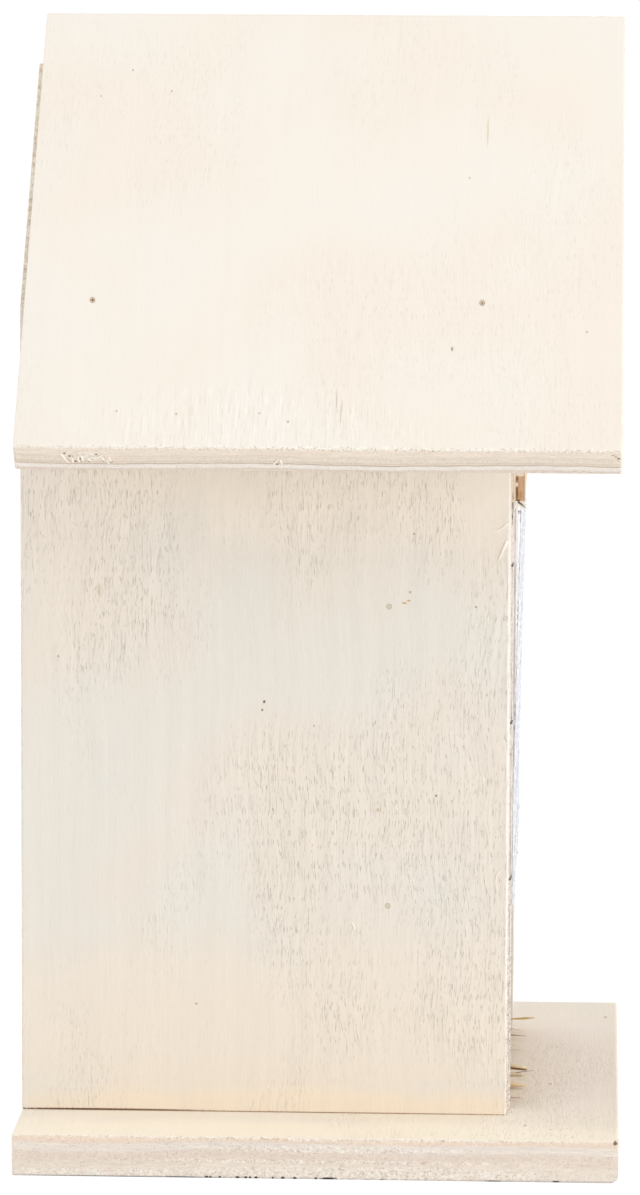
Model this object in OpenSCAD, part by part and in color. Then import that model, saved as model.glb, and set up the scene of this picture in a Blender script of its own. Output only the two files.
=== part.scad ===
// Small bee hotel of bare plywood: a gabled house on a base plate.
// Width runs along X, depth along Y with the open front towards -Y, and Z is up.
// The origin is under the middle of the base plate.

/* [Base plate] */
// Width of the base plate, side to side
base_w = 150; // [138:1:180]
// Depth of the base plate, front to back
base_d = 130; // [120:1:160]
// Thickness of the base plate
base_t = 9; // [7:0.5:14]
// Rounding of the base plate's lower front arris
base_round = 1.8; // [0.5:0.1:2.5]

/* [House] */
// Width over the two side walls
body_w = 100; // [96:1:108]
// How far the walls stand back from the base plate's front edge
front_setback = 23.6; // [15:0.1:26]
// How far a wall's sawn front edge runs out from its outer arris to its inner one
edge_slant = 0.8; // [0:0.1:1.2]
// Height of the side walls at their outer faces
wall_h = 175.2; // [168:0.1:190]
// Thickness of the side walls
wall_t = 8; // [6.5:0.5:9]
// Thickness of the back panel
back_t = 5; // [4:0.5:8]
// Thickness of the shelves
shelf_t = 5; // [4:0.5:6]
// Diameter of the hanging hole in the back panel
hang_hole_d = 8; // [5:0.5:12]
// Height of the hanging hole above the attic floor
hang_hole_up = 46; // [30:1:52]

/* [Roof] */
// Pitch of both roof slopes
roof_angle = 45; // [43:1:46]
// Thickness of the roof panels
roof_t = 8; // [6:0.5:10]
// Length of the roof panels along the ridge
roof_l = 127.6; // [118:0.1:130]
// How far the roof stops short of the back of the house
roof_back_gap = 1.7; // [0:0.1:3]
// How far each eave reaches out beyond its side wall, measured level
eave_out = 36.8; // [30:0.1:42]

/* [Gable board] */
// Thickness of the gable board
gable_t = 1.5; // [1.5:0.5:3]
// Space behind the gable board that takes the netting's edge
gable_gap = 0.7; // [0.7:0.1:2]
// How far the board hangs below the attic floor
gable_lip = 2.7; // [1:0.1:4]
// How far the board stops short of the walls' outer faces
gable_inset = 1; // [0.5:0.1:2]
// Diameter of the bee holes in the gable board
bee_hole_d = 9; // [6:0.5:11]
// Spacing of the bee holes in a row
bee_hole_pitch = 22; // [18:1:24]
// Spacing of the rows of bee holes
bee_row_pitch = 19; // [16:1:20]
// Height of the lowest row of bee holes above the attic floor
bee_row_up = 15; // [10:1:18]
// Rows of bee holes, one hole fewer in each row going up
bee_rows = 3; // [1:1:3]

/* [Bamboo canes and straw] */
// Canes in the longest row, which set the canes' diameter
cane_cols = 6; // [5:1:7]
// Rows of canes
cane_rows = 3; // [2:1:3]
// Mean bore of a cane
cane_bore = 8; // [7.4:0.1:8.4]
// How far the bore varies from cane to cane
cane_bore_vary = 0.4; // [0:0.1:0.6]
// How far the foremost canes lie back from the walls' front edges
cane_recess = 1.6; // [1:0.1:4]
// Depth of the open end of a cane up to its own cross wall
cane_cell = 66; // [40:1:74]
// Thickness of a cane's cross wall
cane_knot = 3; // [2:0.5:5]
// Swelling of a cane's outside at its cross wall
cane_ring = 0.3; // [0.1:0.1:0.5]
// Diameter of a straw stalk
stalk_d = 2.4; // [2:0.1:3]
// Layers of stalks under the canes
stalk_layers = 2; // [2:1:3]
// Thickness of the broken stalk tips that stick out of the straw
straw_tip_d = 0.8; // [0.6:0.1:1.2]

/* [Pine cones] */
// Widest diameter of a cone
cone_d = 34.6; // [30:0.1:35]
// Scales on a cone, set in one spiral
cone_scales = 42; // [36:2:48]
// Thickness of a scale
scale_t = 1.8; // [1.4:0.1:2.2]
// How far the foremost cones lie back from the walls' front edges
cone_recess = 2; // [1:0.5:6]
// Space left along the depth between two cones, and behind the back ones
cone_space = 2.3; // [1:0.1:4]

/* [Twigs] */
// Twigs in the lower of the two rows, which set the twigs' diameter
twig_cols = 7; // [6:1:9]
// How far the foremost twigs lie back from the walls' front edges
twig_recess = 1.8; // [1:0.1:5]

/* [Wire netting] */
// Width of one mesh of the netting
mesh_w = 13.2; // [12:0.2:15]
// Diameter of the wire
wire_d = 0.5; // [0.4:0.1:0.6]
// Width of a twisted pair of wires
twist_d = 1; // [0.9:0.1:1.4]
// How far the netting bows out just below the gable board
net_bow = 0.6; // [0.4:0.1:2]
// How far the netting's side wires lie in from the walls' outer faces
net_inset = 4; // [3.2:0.1:4.4]
// How far the netting runs up behind the gable board
net_tuck = 6; // [4:0.5:8]

/* [Brads and staples] */
// Diameter of a brad's shank
brad_d = 0.8; // [0.6:0.1:1.2]
// Diameter of a brad's head
brad_head_d = 1.1; // [1:0.1:2]
// Length of the brads in the shelves and the base
brad_l = 16; // [14:0.5:16]
// Length of the brads in the gable board
gable_brad_l = 11; // [9:0.5:14]
// Space round a brad or a staple leg in its hole
nail_clear = 0.05; // [0.02:0.01:0.1]
// Distance of the front roof brads from the walls' front edges
roof_brad_front = 7.1; // [5:0.1:12]
// Distance of the back roof brads from the back of the house
roof_brad_back = 16.3; // [10:0.1:24]
// Distance of the shelf brads from the walls' front edges
shelf_brad_in = 26.8; // [10:0.1:40]
// Distance of the end base brads from the walls' front and back edges
wall_brad_in = 14; // [8:1:30]
// Height of the lower gable brads above the attic floor
gable_brad_up = 6; // [3:0.5:10]
// Depth of the upper gable brads below the walls' outer tops
gable_brad_down = 8; // [4:0.5:12]
// Thickness of a staple's wire
staple_d = 0.5; // [0.4:0.1:0.6]
// Distance between a staple's legs
staple_w = 3; // [2.6:0.1:3.2]
// Depth of a staple's legs in the wood
staple_deep = 5; // [3:0.5:8]

/* [Hidden] */
$fn = 48;
hole_fn = 32;

front_y = -base_d / 2 + front_setback;
back_y = base_d / 2;
inner_w = body_w - 2 * wall_t;
room_d = back_y - back_t - front_y;
wall_mid = body_w / 2 - wall_t / 2;

// Straw: stalks that press a little into each other, layer upon layer
side_gap = 0.4;
seat_gap = 0.3;
stalk_press = 0.1;
stalk_cols = ceil((inner_w - 2 * side_gap) / (stalk_d - stalk_press));
stalk_pitch = (inner_w - 2 * side_gap - stalk_d) / (stalk_cols - 1);
stalk_rise = (stalk_d - stalk_press) * sqrt(3) / 2;
straw_h = seat_gap + stalk_d + (stalk_layers - 1) * stalk_rise;

// Bamboo canes, stacked with the second row one cane shorter
cane_gap = 0.2;
cane_pitch = (inner_w - 2 * side_gap + cane_gap) / cane_cols;
cane_d = cane_pitch - cane_gap;
cane_rise = cane_pitch * sqrt(3) / 2;
cane_top_gap = 0.73;
cane_room_h = straw_h + seat_gap + cane_d + (cane_rows - 1) * cane_rise + cane_top_gap;

// Pine cones, two below and one above, in two ranks
cone_ranks = 2;
cone_core_r = [0.17 * cone_d, 0.28 * cone_d];
cone_l = (room_d - cone_recess - cone_ranks * cone_space) / cone_ranks;
cone_spread = inner_w / 2 - side_gap - cone_d / 2;
cone_up = sqrt(pow(cone_d + seat_gap, 2) - pow(cone_spread, 2));
cone_top_gap = 0.55;
cone_room_h = seat_gap + cone_up + cone_d + cone_top_gap;

// Twigs in two rows
twig_gap = 0.2;
twig_pitch = (inner_w - 2 * side_gap + twig_gap) / twig_cols;
twig_d = twig_pitch - twig_gap;
twig_rise = twig_pitch * sqrt(3) / 2;
twig_top_gap = 0.65;
twig_room_h = seat_gap + twig_d + twig_rise + twig_top_gap;

// Heights of the shelves, measured from the ground
lower_shelf_z = base_t + cane_room_h;
upper_shelf_z = lower_shelf_z + shelf_t + cone_room_h;
attic_floor_z = upper_shelf_z + shelf_t + twig_room_h;
attic_z = attic_floor_z + shelf_t;

// Roof lines in the XZ plane
eave_top_z = base_t + wall_h;
under_ridge_z = eave_top_z + body_w / 2 * tan(roof_angle);
ridge_z = under_ridge_z + roof_t / cos(roof_angle);
slope_l = (body_w / 2 + eave_out) / cos(roof_angle);
roof_y0 = back_y - roof_back_gap - roof_l;

// Gable board
gable_back_y = front_y - gable_gap;
gable_z = attic_floor_z - gable_lip;
gable_half = body_w / 2 - gable_inset;

// Places of the canes, cones and twigs across and up
cane_xz = [for (row = [0 : cane_rows - 1], col = [0 : cane_cols - 1 - row % 2])
    [(col - (cane_cols - 1 - row % 2) / 2) * cane_pitch,
     base_t + straw_h + seat_gap + cane_d / 2 + row * cane_rise]];
cone_low = lower_shelf_z + shelf_t + seat_gap + cone_d / 2;
cone_places = [for (rank = [0 : cone_ranks - 1], spot = [[-1, 0], [1, 0], [0, 1]])
    [spot[0] * cone_spread, front_y + cone_recess + rank * (cone_l + cone_space), cone_low + spot[1] * cone_up]];
twig_xz = [for (row = [0, 1], col = [0 : twig_cols - 1 - row])
    [(col - (twig_cols - 1 - row) / 2) * twig_pitch,
     upper_shelf_z + shelf_t + seat_gap + twig_d / 2 + row * twig_rise]];

// Broken stalk tips: share of the room's half width, height above the base plate, reach out of the front
straw_recess = 2;
straw_tips = [[-0.85, 0.8, 2.6], [-0.55, 0.8, 3.2], [-0.16, 0.9, 3.7], [0.38, 0.8, 3.6], [0.74, 0.8, 2.7],
    [0.913, 3.6, 4.5]];

// Wire netting: it stands off the wood by half of what the gable gap leaves
net_off = (gable_gap - wire_d) / 2;
net_half = body_w / 2 - net_inset;
mesh_rise = mesh_w * sqrt(3) / 2;
net_z0 = lower_shelf_z + shelf_t / 2;
net_z1 = gable_z + net_tuck;
net_bend_z = gable_z - 5 * wire_d;
net_tuck_z = gable_z - wire_d;
side_bow_w = 10;

// Staples sit at the middle of a mesh, on the side wires or on the bottom wire
staple_gap = 0.15;
staple_y = front_y - net_off - wire_d - staple_gap - staple_d;
staple_rows = [0, 3, 6];

// Brads
head_t = 0.5;
sink = 0.4;
brad_up = 0.35;
roof_brad_z = eave_top_z + brad_up * wall_t * tan(roof_angle);
roof_brad_x = (ridge_z - roof_brad_z) / tan(roof_angle) - sink;
roof_brad_l = roof_brad_x - (body_w / 2 - wall_t) - 1;
roof_brad_y = [front_y + roof_brad_front, back_y - roof_brad_back];
wall_brad_y = [front_y + wall_brad_in, (front_y + back_y) / 2, back_y - wall_brad_in];
back_brad_x = inner_w * 0.28;
gable_brad_z = [attic_z + gable_brad_up, eave_top_z - gable_brad_down];

cane_names = [for (i = [1 : len(cane_xz)]) str("bamboo_cane_", i)];
cone_names = [for (i = [1 : len(cone_places)]) str("pine_cone_", i)];
twig_names = [for (i = [1 : len(twig_xz)]) str("twig_", i)];

// Extrudes an outline drawn in X and Z along the depth, from y0 for len
module run_back(y0, len) {
    translate([0, y0 + len, 0])
        rotate([90, 0, 0])
            linear_extrude(len)
                children();
}

// Extrudes an outline drawn in Y and Z along the width, from x0 for len
module run_across(x0, len) {
    translate([x0, 0, 0])
        rotate([90, 0, 90])
            linear_extrude(len)
                children();
}

// A brad with its head's top at the origin, pointing down; grow widens it into its hole
module brad(len, grow = 0) {
    translate([0, 0, -len - grow])
        cylinder(h = len + grow, d = brad_d + 2 * grow, $fn = hole_fn);
    translate([0, 0, -head_t])
        cylinder(h = head_t + (grow > 0 ? 3 : 0), d = brad_head_d + 2 * grow, $fn = hole_fn);
}

// The brads that hold the roof, driven level through it into the bevelled wall tops
module roof_brad_set(grow = 0) {
    for (side = [-1, 1], y = roof_brad_y)
        translate([side * roof_brad_x, y, roof_brad_z])
            rotate([0, side * 90, 0])
                brad(roof_brad_l, grow);
}

// The brads that come up through the base plate
module base_brad_set(grow = 0) {
    for (side = [-1, 1], y = wall_brad_y)
        translate([side * wall_mid, y, 0])
            rotate([180, 0, 0])
                brad(brad_l, grow);
    for (side = [-1, 1])
        translate([side * back_brad_x, back_y - back_t / 2, 0])
            rotate([180, 0, 0])
                brad(brad_l, grow);
}

// The brads through the side walls into the lower two shelves, and through the back into the attic floor
module shelf_brad_set(grow = 0) {
    for (side = [-1, 1], z = [lower_shelf_z, upper_shelf_z])
        translate([side * body_w / 2, front_y + shelf_brad_in, z + shelf_t / 2])
            rotate([0, side * 90, 0])
                brad(brad_l, grow);
    for (side = [-1, 1])
        translate([side * back_brad_x, back_y, attic_floor_z + shelf_t / 2])
            rotate([-90, 0, 0])
                brad(brad_l, grow);
}

// The brads through the gable board into the walls' front edges
module gable_brad_set(grow = 0) {
    for (side = [-1, 1], z = gable_brad_z)
        translate([side * wall_mid, gable_back_y - gable_t, z])
            rotate([90, 0, 0])
                brad(gable_brad_l, grow);
}

// One staple, its crown just in front of the netting and its legs in the wood
module staple(grow = 0) {
    thick = staple_d + 2 * grow;
    for (side = [-1, 1])
        translate([side * staple_w / 2 - thick / 2, staple_y, -thick / 2])
            cube([thick, front_y + staple_deep - staple_y + grow, thick]);
    if (grow == 0)
        translate([-staple_w / 2 - staple_d / 2, staple_y, -staple_d / 2])
            cube([staple_w + staple_d, staple_d, staple_d]);
}

module staple_set(grow = 0) {
    for (side = [-1, 1], row = staple_rows)
        translate([side * net_half, 0, net_z0 + (row + 0.5) * mesh_rise])
            staple(grow);
    for (side = [-1, 1])
        translate([side * 2 * mesh_w, 0, net_z0])
            rotate([0, 90, 0])
                staple(grow);
}

module base_plate() {
    r = base_round;
    color("#EADCC8")
        difference() {
            run_across(-base_w / 2, base_w) {
                translate([-base_d / 2, r])
                    square([base_d, base_t - r]);
                translate([-base_d / 2 + r, 0])
                    square([base_d - r, base_t]);
                translate([-base_d / 2 + r, r])
                    circle(r);
            }
            base_brad_set(nail_clear);
        }
}

// A side wall's top is bevelled to lie flat under the roof, and its front edge is sawn a little out of square
module side_wall(side) {
    color("#EFE2CE")
        difference() {
            mirror([side < 0 ? 1 : 0, 0, 0])
                intersection() {
                    run_back(front_y, back_y - front_y)
                        polygon([
                            [body_w / 2 - wall_t, base_t],
                            [body_w / 2, base_t],
                            [body_w / 2, eave_top_z],
                            [body_w / 2 - wall_t, eave_top_z + wall_t * tan(roof_angle)]]);
                    linear_extrude(ridge_z)
                        polygon([
                            [body_w / 2 - wall_t, front_y],
                            [body_w / 2, front_y + edge_slant],
                            [body_w / 2, back_y],
                            [body_w / 2 - wall_t, back_y]]);
                }
            roof_brad_set(nail_clear);
            base_brad_set(nail_clear);
            shelf_brad_set(nail_clear);
            gable_brad_set(nail_clear);
            staple_set(nail_clear);
        }
}

module left_side_wall() {
    side_wall(-1);
}

module right_side_wall() {
    side_wall(1);
}

// The back panel fills the house's outline between the walls, up to the roof
module back_panel() {
    shoulder_z = under_ridge_z - inner_w / 2 * tan(roof_angle);
    color("#EBDDC7")
        difference() {
            run_back(back_y - back_t, back_t)
                polygon([
                    [-inner_w / 2, base_t],
                    [inner_w / 2, base_t],
                    [inner_w / 2, shoulder_z],
                    [0, under_ridge_z],
                    [-inner_w / 2, shoulder_z]]);
            translate([0, back_y + 1, attic_z + hang_hole_up])
                rotate([90, 0, 0])
                    cylinder(h = back_t + 2, d = hang_hole_d);
            base_brad_set(nail_clear);
            shelf_brad_set(nail_clear);
        }
}

// A shelf fits between the side walls and stops at the back panel
module shelf(z) {
    color("#EEE0CA")
        difference() {
            translate([-inner_w / 2, front_y, z])
                cube([inner_w, room_d, shelf_t]);
            shelf_brad_set(nail_clear);
            staple_set(nail_clear);
        }
}

module lower_shelf() {
    shelf(lower_shelf_z);
}

module upper_shelf() {
    shelf(upper_shelf_z);
}

module attic_floor() {
    shelf(attic_floor_z);
}

// The left panel runs up to the ridge, and its end is flush with the right slope
module left_roof_panel() {
    lap = roof_t / sin(2 * roof_angle);
    color("#F7F0E4")
        difference() {
            run_back(roof_y0, roof_l)
                polygon([
                    [-slope_l * cos(roof_angle), ridge_z - slope_l * sin(roof_angle)],
                    [-slope_l * cos(roof_angle) + roof_t * sin(roof_angle),
                     ridge_z - slope_l * sin(roof_angle) - roof_t * cos(roof_angle)],
                    [lap * cos(roof_angle), ridge_z - lap * sin(roof_angle)],
                    [0, ridge_z]]);
            roof_brad_set(nail_clear);
        }
}

// The right panel butts against the underside of the left one
module right_roof_panel() {
    lap = roof_t / sin(2 * roof_angle);
    color("#F5EDDF")
        difference() {
            run_back(roof_y0, roof_l)
                polygon([
                    [lap * cos(roof_angle), ridge_z - lap * sin(roof_angle)],
                    [0, under_ridge_z],
                    [slope_l * cos(roof_angle) - roof_t * sin(roof_angle),
                     ridge_z - slope_l * sin(roof_angle) - roof_t * cos(roof_angle)],
                    [slope_l * cos(roof_angle), ridge_z - slope_l * sin(roof_angle)]]);
            roof_brad_set(nail_clear);
        }
}

// The thin cut-out board that closes the gable, with its bee holes
module gable_board() {
    roof_clear = 0.3;
    top_z = under_ridge_z - roof_clear / cos(roof_angle);
    color("#D9B48C")
        difference() {
            run_back(gable_back_y - gable_t, gable_t)
                difference() {
                    polygon([
                        [-gable_half, gable_z],
                        [gable_half, gable_z],
                        [gable_half, top_z - gable_half * tan(roof_angle)],
                        [0, top_z],
                        [-gable_half, top_z - gable_half * tan(roof_angle)]]);
                    for (row = [0 : bee_rows - 1], col = [0 : bee_rows - 1 - row])
                        translate([(col - (bee_rows - 1 - row) / 2) * bee_hole_pitch,
                                   attic_z + bee_row_up + row * bee_row_pitch])
                            circle(d = bee_hole_d);
                }
            gable_brad_set(nail_clear);
        }
}

// One mesh of the netting: upright sides along the twisted pairs, sloping sides along single wires
module mesh_hole() {
    side_x = (mesh_w - twist_d) / 2;
    point_z = mesh_w / sqrt(3) - wire_d / 2 / sin(60);
    side_z = point_z - side_x / sqrt(3);
    polygon([
        [0, point_z], [side_x, side_z], [side_x, -side_z],
        [0, -point_z], [-side_x, -side_z], [-side_x, side_z]]);
}

// The netting's outline with all its meshes, cut off at an edge wire all round
module net_pattern() {
    rows = ceil((net_z1 - net_z0) / mesh_rise);
    cols = ceil(net_half / mesh_w);
    difference() {
        translate([-net_half - wire_d / 2, net_z0 - wire_d / 2])
            square([2 * net_half + wire_d, net_z1 - net_z0 + wire_d]);
        intersection() {
            translate([-net_half + wire_d / 2, net_z0 + wire_d / 2])
                square([2 * net_half - wire_d, net_z1 - net_z0 - wire_d]);
            for (row = [0 : rows], col = [-cols : cols])
                translate([(col + (row % 2) / 2) * mesh_w, net_z0 + (row + 0.5) * mesh_rise])
                    mesh_hole();
        }
    }
}

// The space behind the bowed netting: stapled at the sides, bowed below the gable board
module bow_space(out) {
    flat_y = front_y - net_off - out;
    bow_y = flat_y - net_bow;
    flat_half = net_half - staple_w / 2 - staple_d;
    bow_half = flat_half - side_bow_w;
    past = 5 * wire_d;
    intersection() {
        run_across(-body_w / 2, body_w)
            polygon([
                [front_y + past, net_z0 - past],
                [flat_y, net_z0 - past],
                [flat_y, net_z0 + wire_d],
                [bow_y, net_bend_z],
                [flat_y, net_tuck_z],
                [flat_y, net_z1 + past],
                [front_y + past, net_z1 + past]]);
        translate([0, 0, net_z0 - past])
            linear_extrude(net_z1 - net_z0 + 2 * past)
                polygon([
                    [-body_w / 2, front_y + past],
                    [-body_w / 2, flat_y],
                    [-flat_half, flat_y],
                    [-bow_half, bow_y - wire_d],
                    [bow_half, bow_y - wire_d],
                    [flat_half, flat_y],
                    [body_w / 2, flat_y],
                    [body_w / 2, front_y + past]]);
    }
}

module wire_netting() {
    color("#B9BEC4")
        difference() {
            intersection() {
                run_back(front_y - net_off - net_bow - 3 * wire_d, net_off + net_bow + 3 * wire_d)
                    net_pattern();
                bow_space(wire_d);
            }
            bow_space(0);
        }
}

// A cane is open at both ends, with a cross wall of its own inside and a swollen ring round it
module bamboo_cane(i) {
    bore = cane_bore + cane_bore_vary * ((i * 5) % 3 - 1);
    cell = cane_cell + 6 * ((i * 7) % 3 - 1);
    back = cane_recess + 0.6 * ((i * 3) % 4);
    len = room_d - back - cane_gap;
    stem_d = cane_d - 2 * cane_ring;
    color("#D8BE86")
        translate([cane_xz[i][0], front_y + back, cane_xz[i][1]])
            rotate([-90, 0, 0])
                difference() {
                    union() {
                        cylinder(h = len, d = stem_d);
                        translate([0, 0, cell])
                            cylinder(h = cane_knot / 2, d1 = stem_d, d2 = cane_d);
                        translate([0, 0, cell + cane_knot / 2])
                            cylinder(h = cane_knot / 2, d1 = cane_d, d2 = stem_d);
                    }
                    translate([0, 0, -1])
                        cylinder(h = cell + 1, d = bore);
                    translate([0, 0, cell + cane_knot])
                        cylinder(h = len, d = bore);
                }
}

// Straw lies front to back under the canes: pressed stalks of uneven length, and a few broken tips
module straw_bed() {
    first_x = -inner_w / 2 + side_gap + stalk_d / 2;
    color("#D9BE7C") {
        for (layer = [0 : stalk_layers - 1], col = [0 : stalk_cols - 1 - layer % 2]) {
            back = straw_recess + stalk_d * ((col * 7 + layer * 3) % 5) / 4;
            translate([first_x + (col + (layer % 2) / 2) * stalk_pitch, front_y + back,
                       base_t + seat_gap + stalk_d / 2 + layer * stalk_rise])
                rotate([-90, 0, 0])
                    cylinder(h = room_d - back - seat_gap, d = stalk_d, $fn = 24);
        }
        for (tip = straw_tips)
            translate([tip[0] * (inner_w / 2 - side_gap), front_y - tip[2], base_t + tip[1]])
                rotate([-90, 0, 0])
                    cylinder(h = tip[2] + straw_recess + 3 * stalk_d, d = straw_tip_d, $fn = 16);
    }
}

// A cone of overlapping scales on a tapered core, its tip towards the front
module pine_cone(i) {
    golden = 137.508;
    first_z = scale_t / 2 + cone_d / 7.5;
    last_z = cone_l - scale_t;
    color("#8A6243")
        translate(cone_places[i])
            rotate([-90, 0, 0]) {
                translate([0, 0, first_z])
                    cylinder(h = last_z - first_z, r1 = cone_core_r[0], r2 = cone_core_r[1]);
                for (k = [0 : cone_scales - 1]) {
                    t = k / (cone_scales - 1);
                    reach = cone_d / 2 * sqrt(1 - pow((t - 0.55) / 0.7, 2));
                    core_r = cone_core_r[0] + t * (cone_core_r[1] - cone_core_r[0]);
                    lean = 55 - 35 * t;
                    lobe = (reach - core_r + scale_t) / (2 * cos(lean));
                    rotate(i * 40 + k * golden)
                        translate([reach - lobe * cos(lean) - scale_t / 2 * sin(lean), 0,
                                   first_z + t * (last_z - first_z)])
                            rotate([0, lean, 0])
                                cylinder(h = scale_t, r = lobe, center = true, $fn = 24);
                }
            }
}

// A twig is a straight cut length of solid round wood
module twig(i) {
    back = twig_recess + 0.7 * ((i * 5) % 4);
    bevel = 0.4;
    len = room_d - back - twig_gap;
    r = twig_d / 2 - 0.15 * ((i * 7) % 3);
    color("#A98563")
        translate([twig_xz[i][0], front_y + back, twig_xz[i][1]])
            rotate([-90, 0, 0])
                rotate_extrude()
                    polygon([[0, 0], [r - bevel, 0], [r, bevel], [r, len - bevel], [r - bevel, len], [0, len]]);
}

module roof_brads() {
    color("#6E6A66")
        roof_brad_set();
}

module base_brads() {
    color("#6E6A66")
        base_brad_set();
}

module shelf_brads() {
    color("#6E6A66")
        shelf_brad_set();
}

module gable_brads() {
    color("#6E6A66")
        gable_brad_set();
}

module netting_staples() {
    color("#A9ADB2")
        staple_set();
}

base_plate();
left_side_wall();
right_side_wall();
back_panel();
lower_shelf();
upper_shelf();
attic_floor();
left_roof_panel();
right_roof_panel();
gable_board();
wire_netting();
straw_bed();
roof_brads();
base_brads();
shelf_brads();
gable_brads();
netting_staples();
for (i = [0 : len(cane_xz) - 1]) {
    bamboo_cane(i);
}
for (i = [0 : len(cone_places) - 1]) {
    pine_cone(i);
}
for (i = [0 : len(twig_xz) - 1]) {
    twig(i);
}
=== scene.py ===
import math

import bmesh
import bpy
from mathutils import Matrix, Vector, noise


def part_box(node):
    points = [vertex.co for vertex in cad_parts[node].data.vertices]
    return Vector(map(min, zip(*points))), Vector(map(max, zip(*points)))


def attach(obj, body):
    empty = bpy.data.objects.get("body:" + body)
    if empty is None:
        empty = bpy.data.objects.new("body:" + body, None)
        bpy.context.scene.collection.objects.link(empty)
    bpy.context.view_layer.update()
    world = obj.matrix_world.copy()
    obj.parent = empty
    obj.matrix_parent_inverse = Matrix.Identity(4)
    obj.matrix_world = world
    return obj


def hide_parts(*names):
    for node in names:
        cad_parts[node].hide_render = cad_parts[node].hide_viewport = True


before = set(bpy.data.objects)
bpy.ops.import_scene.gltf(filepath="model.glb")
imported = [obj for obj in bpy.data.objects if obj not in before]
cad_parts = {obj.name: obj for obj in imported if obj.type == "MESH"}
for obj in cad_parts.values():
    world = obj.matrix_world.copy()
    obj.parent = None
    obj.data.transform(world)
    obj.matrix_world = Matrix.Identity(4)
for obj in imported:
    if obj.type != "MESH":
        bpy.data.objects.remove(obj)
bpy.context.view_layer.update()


# Camera: it stands at the left of the house, a little forward and above, with a long lens.
# Its place, tilt and lens come from a fit to the straight lines of the boards.
eye = Vector((-1.4066, -0.0578, 0.3091))
pitch, yaw, roll = math.radians(7.832), math.radians(2.453), math.radians(0.207)
focal_pixels, frame_pixels, sensor_mm = 6363, 1195, 24
ahead = Vector((math.cos(pitch) * math.cos(yaw), math.cos(pitch) * math.sin(yaw), -math.sin(pitch)))
level = ahead.cross(Vector((0, 0, 1))).normalized()
above = level.cross(ahead)
side = math.cos(roll) * level + math.sin(roll) * above
top = math.cos(roll) * above - math.sin(roll) * level
bpy.ops.object.camera_add()
camera = bpy.context.object
camera.matrix_world = Matrix.Translation(eye) @ Matrix((side, top, -ahead)).transposed().to_4x4()
camera.data.sensor_fit = "VERTICAL"
camera.data.sensor_height = sensor_mm
camera.data.lens = focal_pixels / frame_pixels * sensor_mm
camera.data.clip_end = 60
bpy.context.scene.camera = camera


# Base plate: a sawn board of bare plywood, 9 mm thick, with its lower front arris rounded.
# The house stands on it and is nailed from below.
def srgb(red, green, blue):
    """A colour as a picture gives it, 0 to 255, in linear light"""
    linear = (((c / 255 + 0.055) / 1.055) ** 2.4 if c > 10 else c / 3295 for c in (red, green, blue))
    return (*linear, 1.0)


def feed(node, inputs):
    """Links each named input to a socket, or sets it to a value"""
    for name, value in inputs.items():
        if isinstance(value, bpy.types.NodeSocket):
            node.id_data.links.new(value, node.inputs[name])
        else:
            node.inputs[name].default_value = value


def put(kind, inputs=None, tree=None, **options):
    """Adds a node to the tree, or else to the one that its inputs' sockets belong to"""
    inputs = inputs or {}
    tree = tree or next(value.id_data for value in inputs.values() if isinstance(value, bpy.types.NodeSocket))
    made = tree.nodes.new(kind)
    for name, value in options.items():
        setattr(made, name, value)
    feed(made, inputs)
    return made


def calc(operation, *values):
    return put("ShaderNodeMath", dict(enumerate(values)), operation=operation).outputs[0]


def times(first, second):
    return calc("MULTIPLY", first, second)


def times_plus(first, second, third):
    return calc("MULTIPLY_ADD", first, second, third)


def minus(first, second):
    return calc("SUBTRACT", first, second)


def size_of(value):
    return calc("ABSOLUTE", value)


def vector(operation, *values):
    return put("ShaderNodeVectorMath", dict(enumerate(values)), operation=operation).outputs


def axes(value):
    return put("ShaderNodeSeparateXYZ", {0: value}).outputs


def fade(value, low, high):
    return put("ShaderNodeMapRange", {0: value, 1: low, 2: high}, interpolation_type="SMOOTHSTEP").outputs[0]


def tint(amount, first, second, blend="MIX"):
    mixed = put("ShaderNodeMix", {0: amount, 6: first, 7: second}, data_type="RGBA", blend_type=blend)
    return mixed.outputs[2]


def lay(colour, shade, mask, amount=1.0):
    """Lays a shade over the colour, as strongly as the mask and the amount say"""
    return tint(mask if amount == 1.0 else times(mask, amount), colour, srgb(*shade))


def shaded(colour, light):
    grey = put("ShaderNodeCombineColor", {0: light, 1: light, 2: light}).outputs[0]
    return tint(1.0, colour, grey, "MULTIPLY")


def clouds(place, scale, detail=2.0):
    return put("ShaderNodeTexNoise", {"Vector": place, "Scale": scale, "Detail": detail}).outputs


def stretched_noise(place, scale, detail=2.0, rough=0.5):
    across = vector("MULTIPLY", place, scale)[0]
    made = put("ShaderNodeTexNoise", {"Vector": across, "Scale": 1.0, "Detail": detail, "Roughness": rough})
    return made.outputs[0]


def ramp(value, stops, curve="LINEAR"):
    made = put("ShaderNodeValToRGB", {0: value})
    made.color_ramp.interpolation = curve
    while len(made.color_ramp.elements) < len(stops):
        made.color_ramp.elements.new(0.5)
    for element, (place, colour) in zip(made.color_ramp.elements, stops):
        element.position = place
        element.color = colour
    return made.outputs[0]


def bump(height, distance=0.001, strength=1.0):
    return put("ShaderNodeBump", {"Strength": strength, "Distance": distance, "Height": height}).outputs[0]


def source(tree, kind, output):
    return put(kind, tree=tree).outputs[output]


def new_material(name):
    """A material with its node tree and its shader"""
    made = bpy.data.materials.new(name)
    made.use_nodes = True
    return made, made.node_tree, made.node_tree.nodes["Principled BSDF"]


def new_group(name, inputs, outputs):
    group = bpy.data.node_groups.new(name, "ShaderNodeTree")
    for label, kind, value in inputs:
        made = group.interface.new_socket(label, in_out="INPUT", socket_type="NodeSocket" + kind)
        made.default_value = value
    for label in outputs:
        group.interface.new_socket(label, in_out="OUTPUT", socket_type="NodeSocketFloat")
    return group, put("NodeGroupInput", tree=group).outputs, put("NodeGroupOutput", tree=group)


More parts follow.
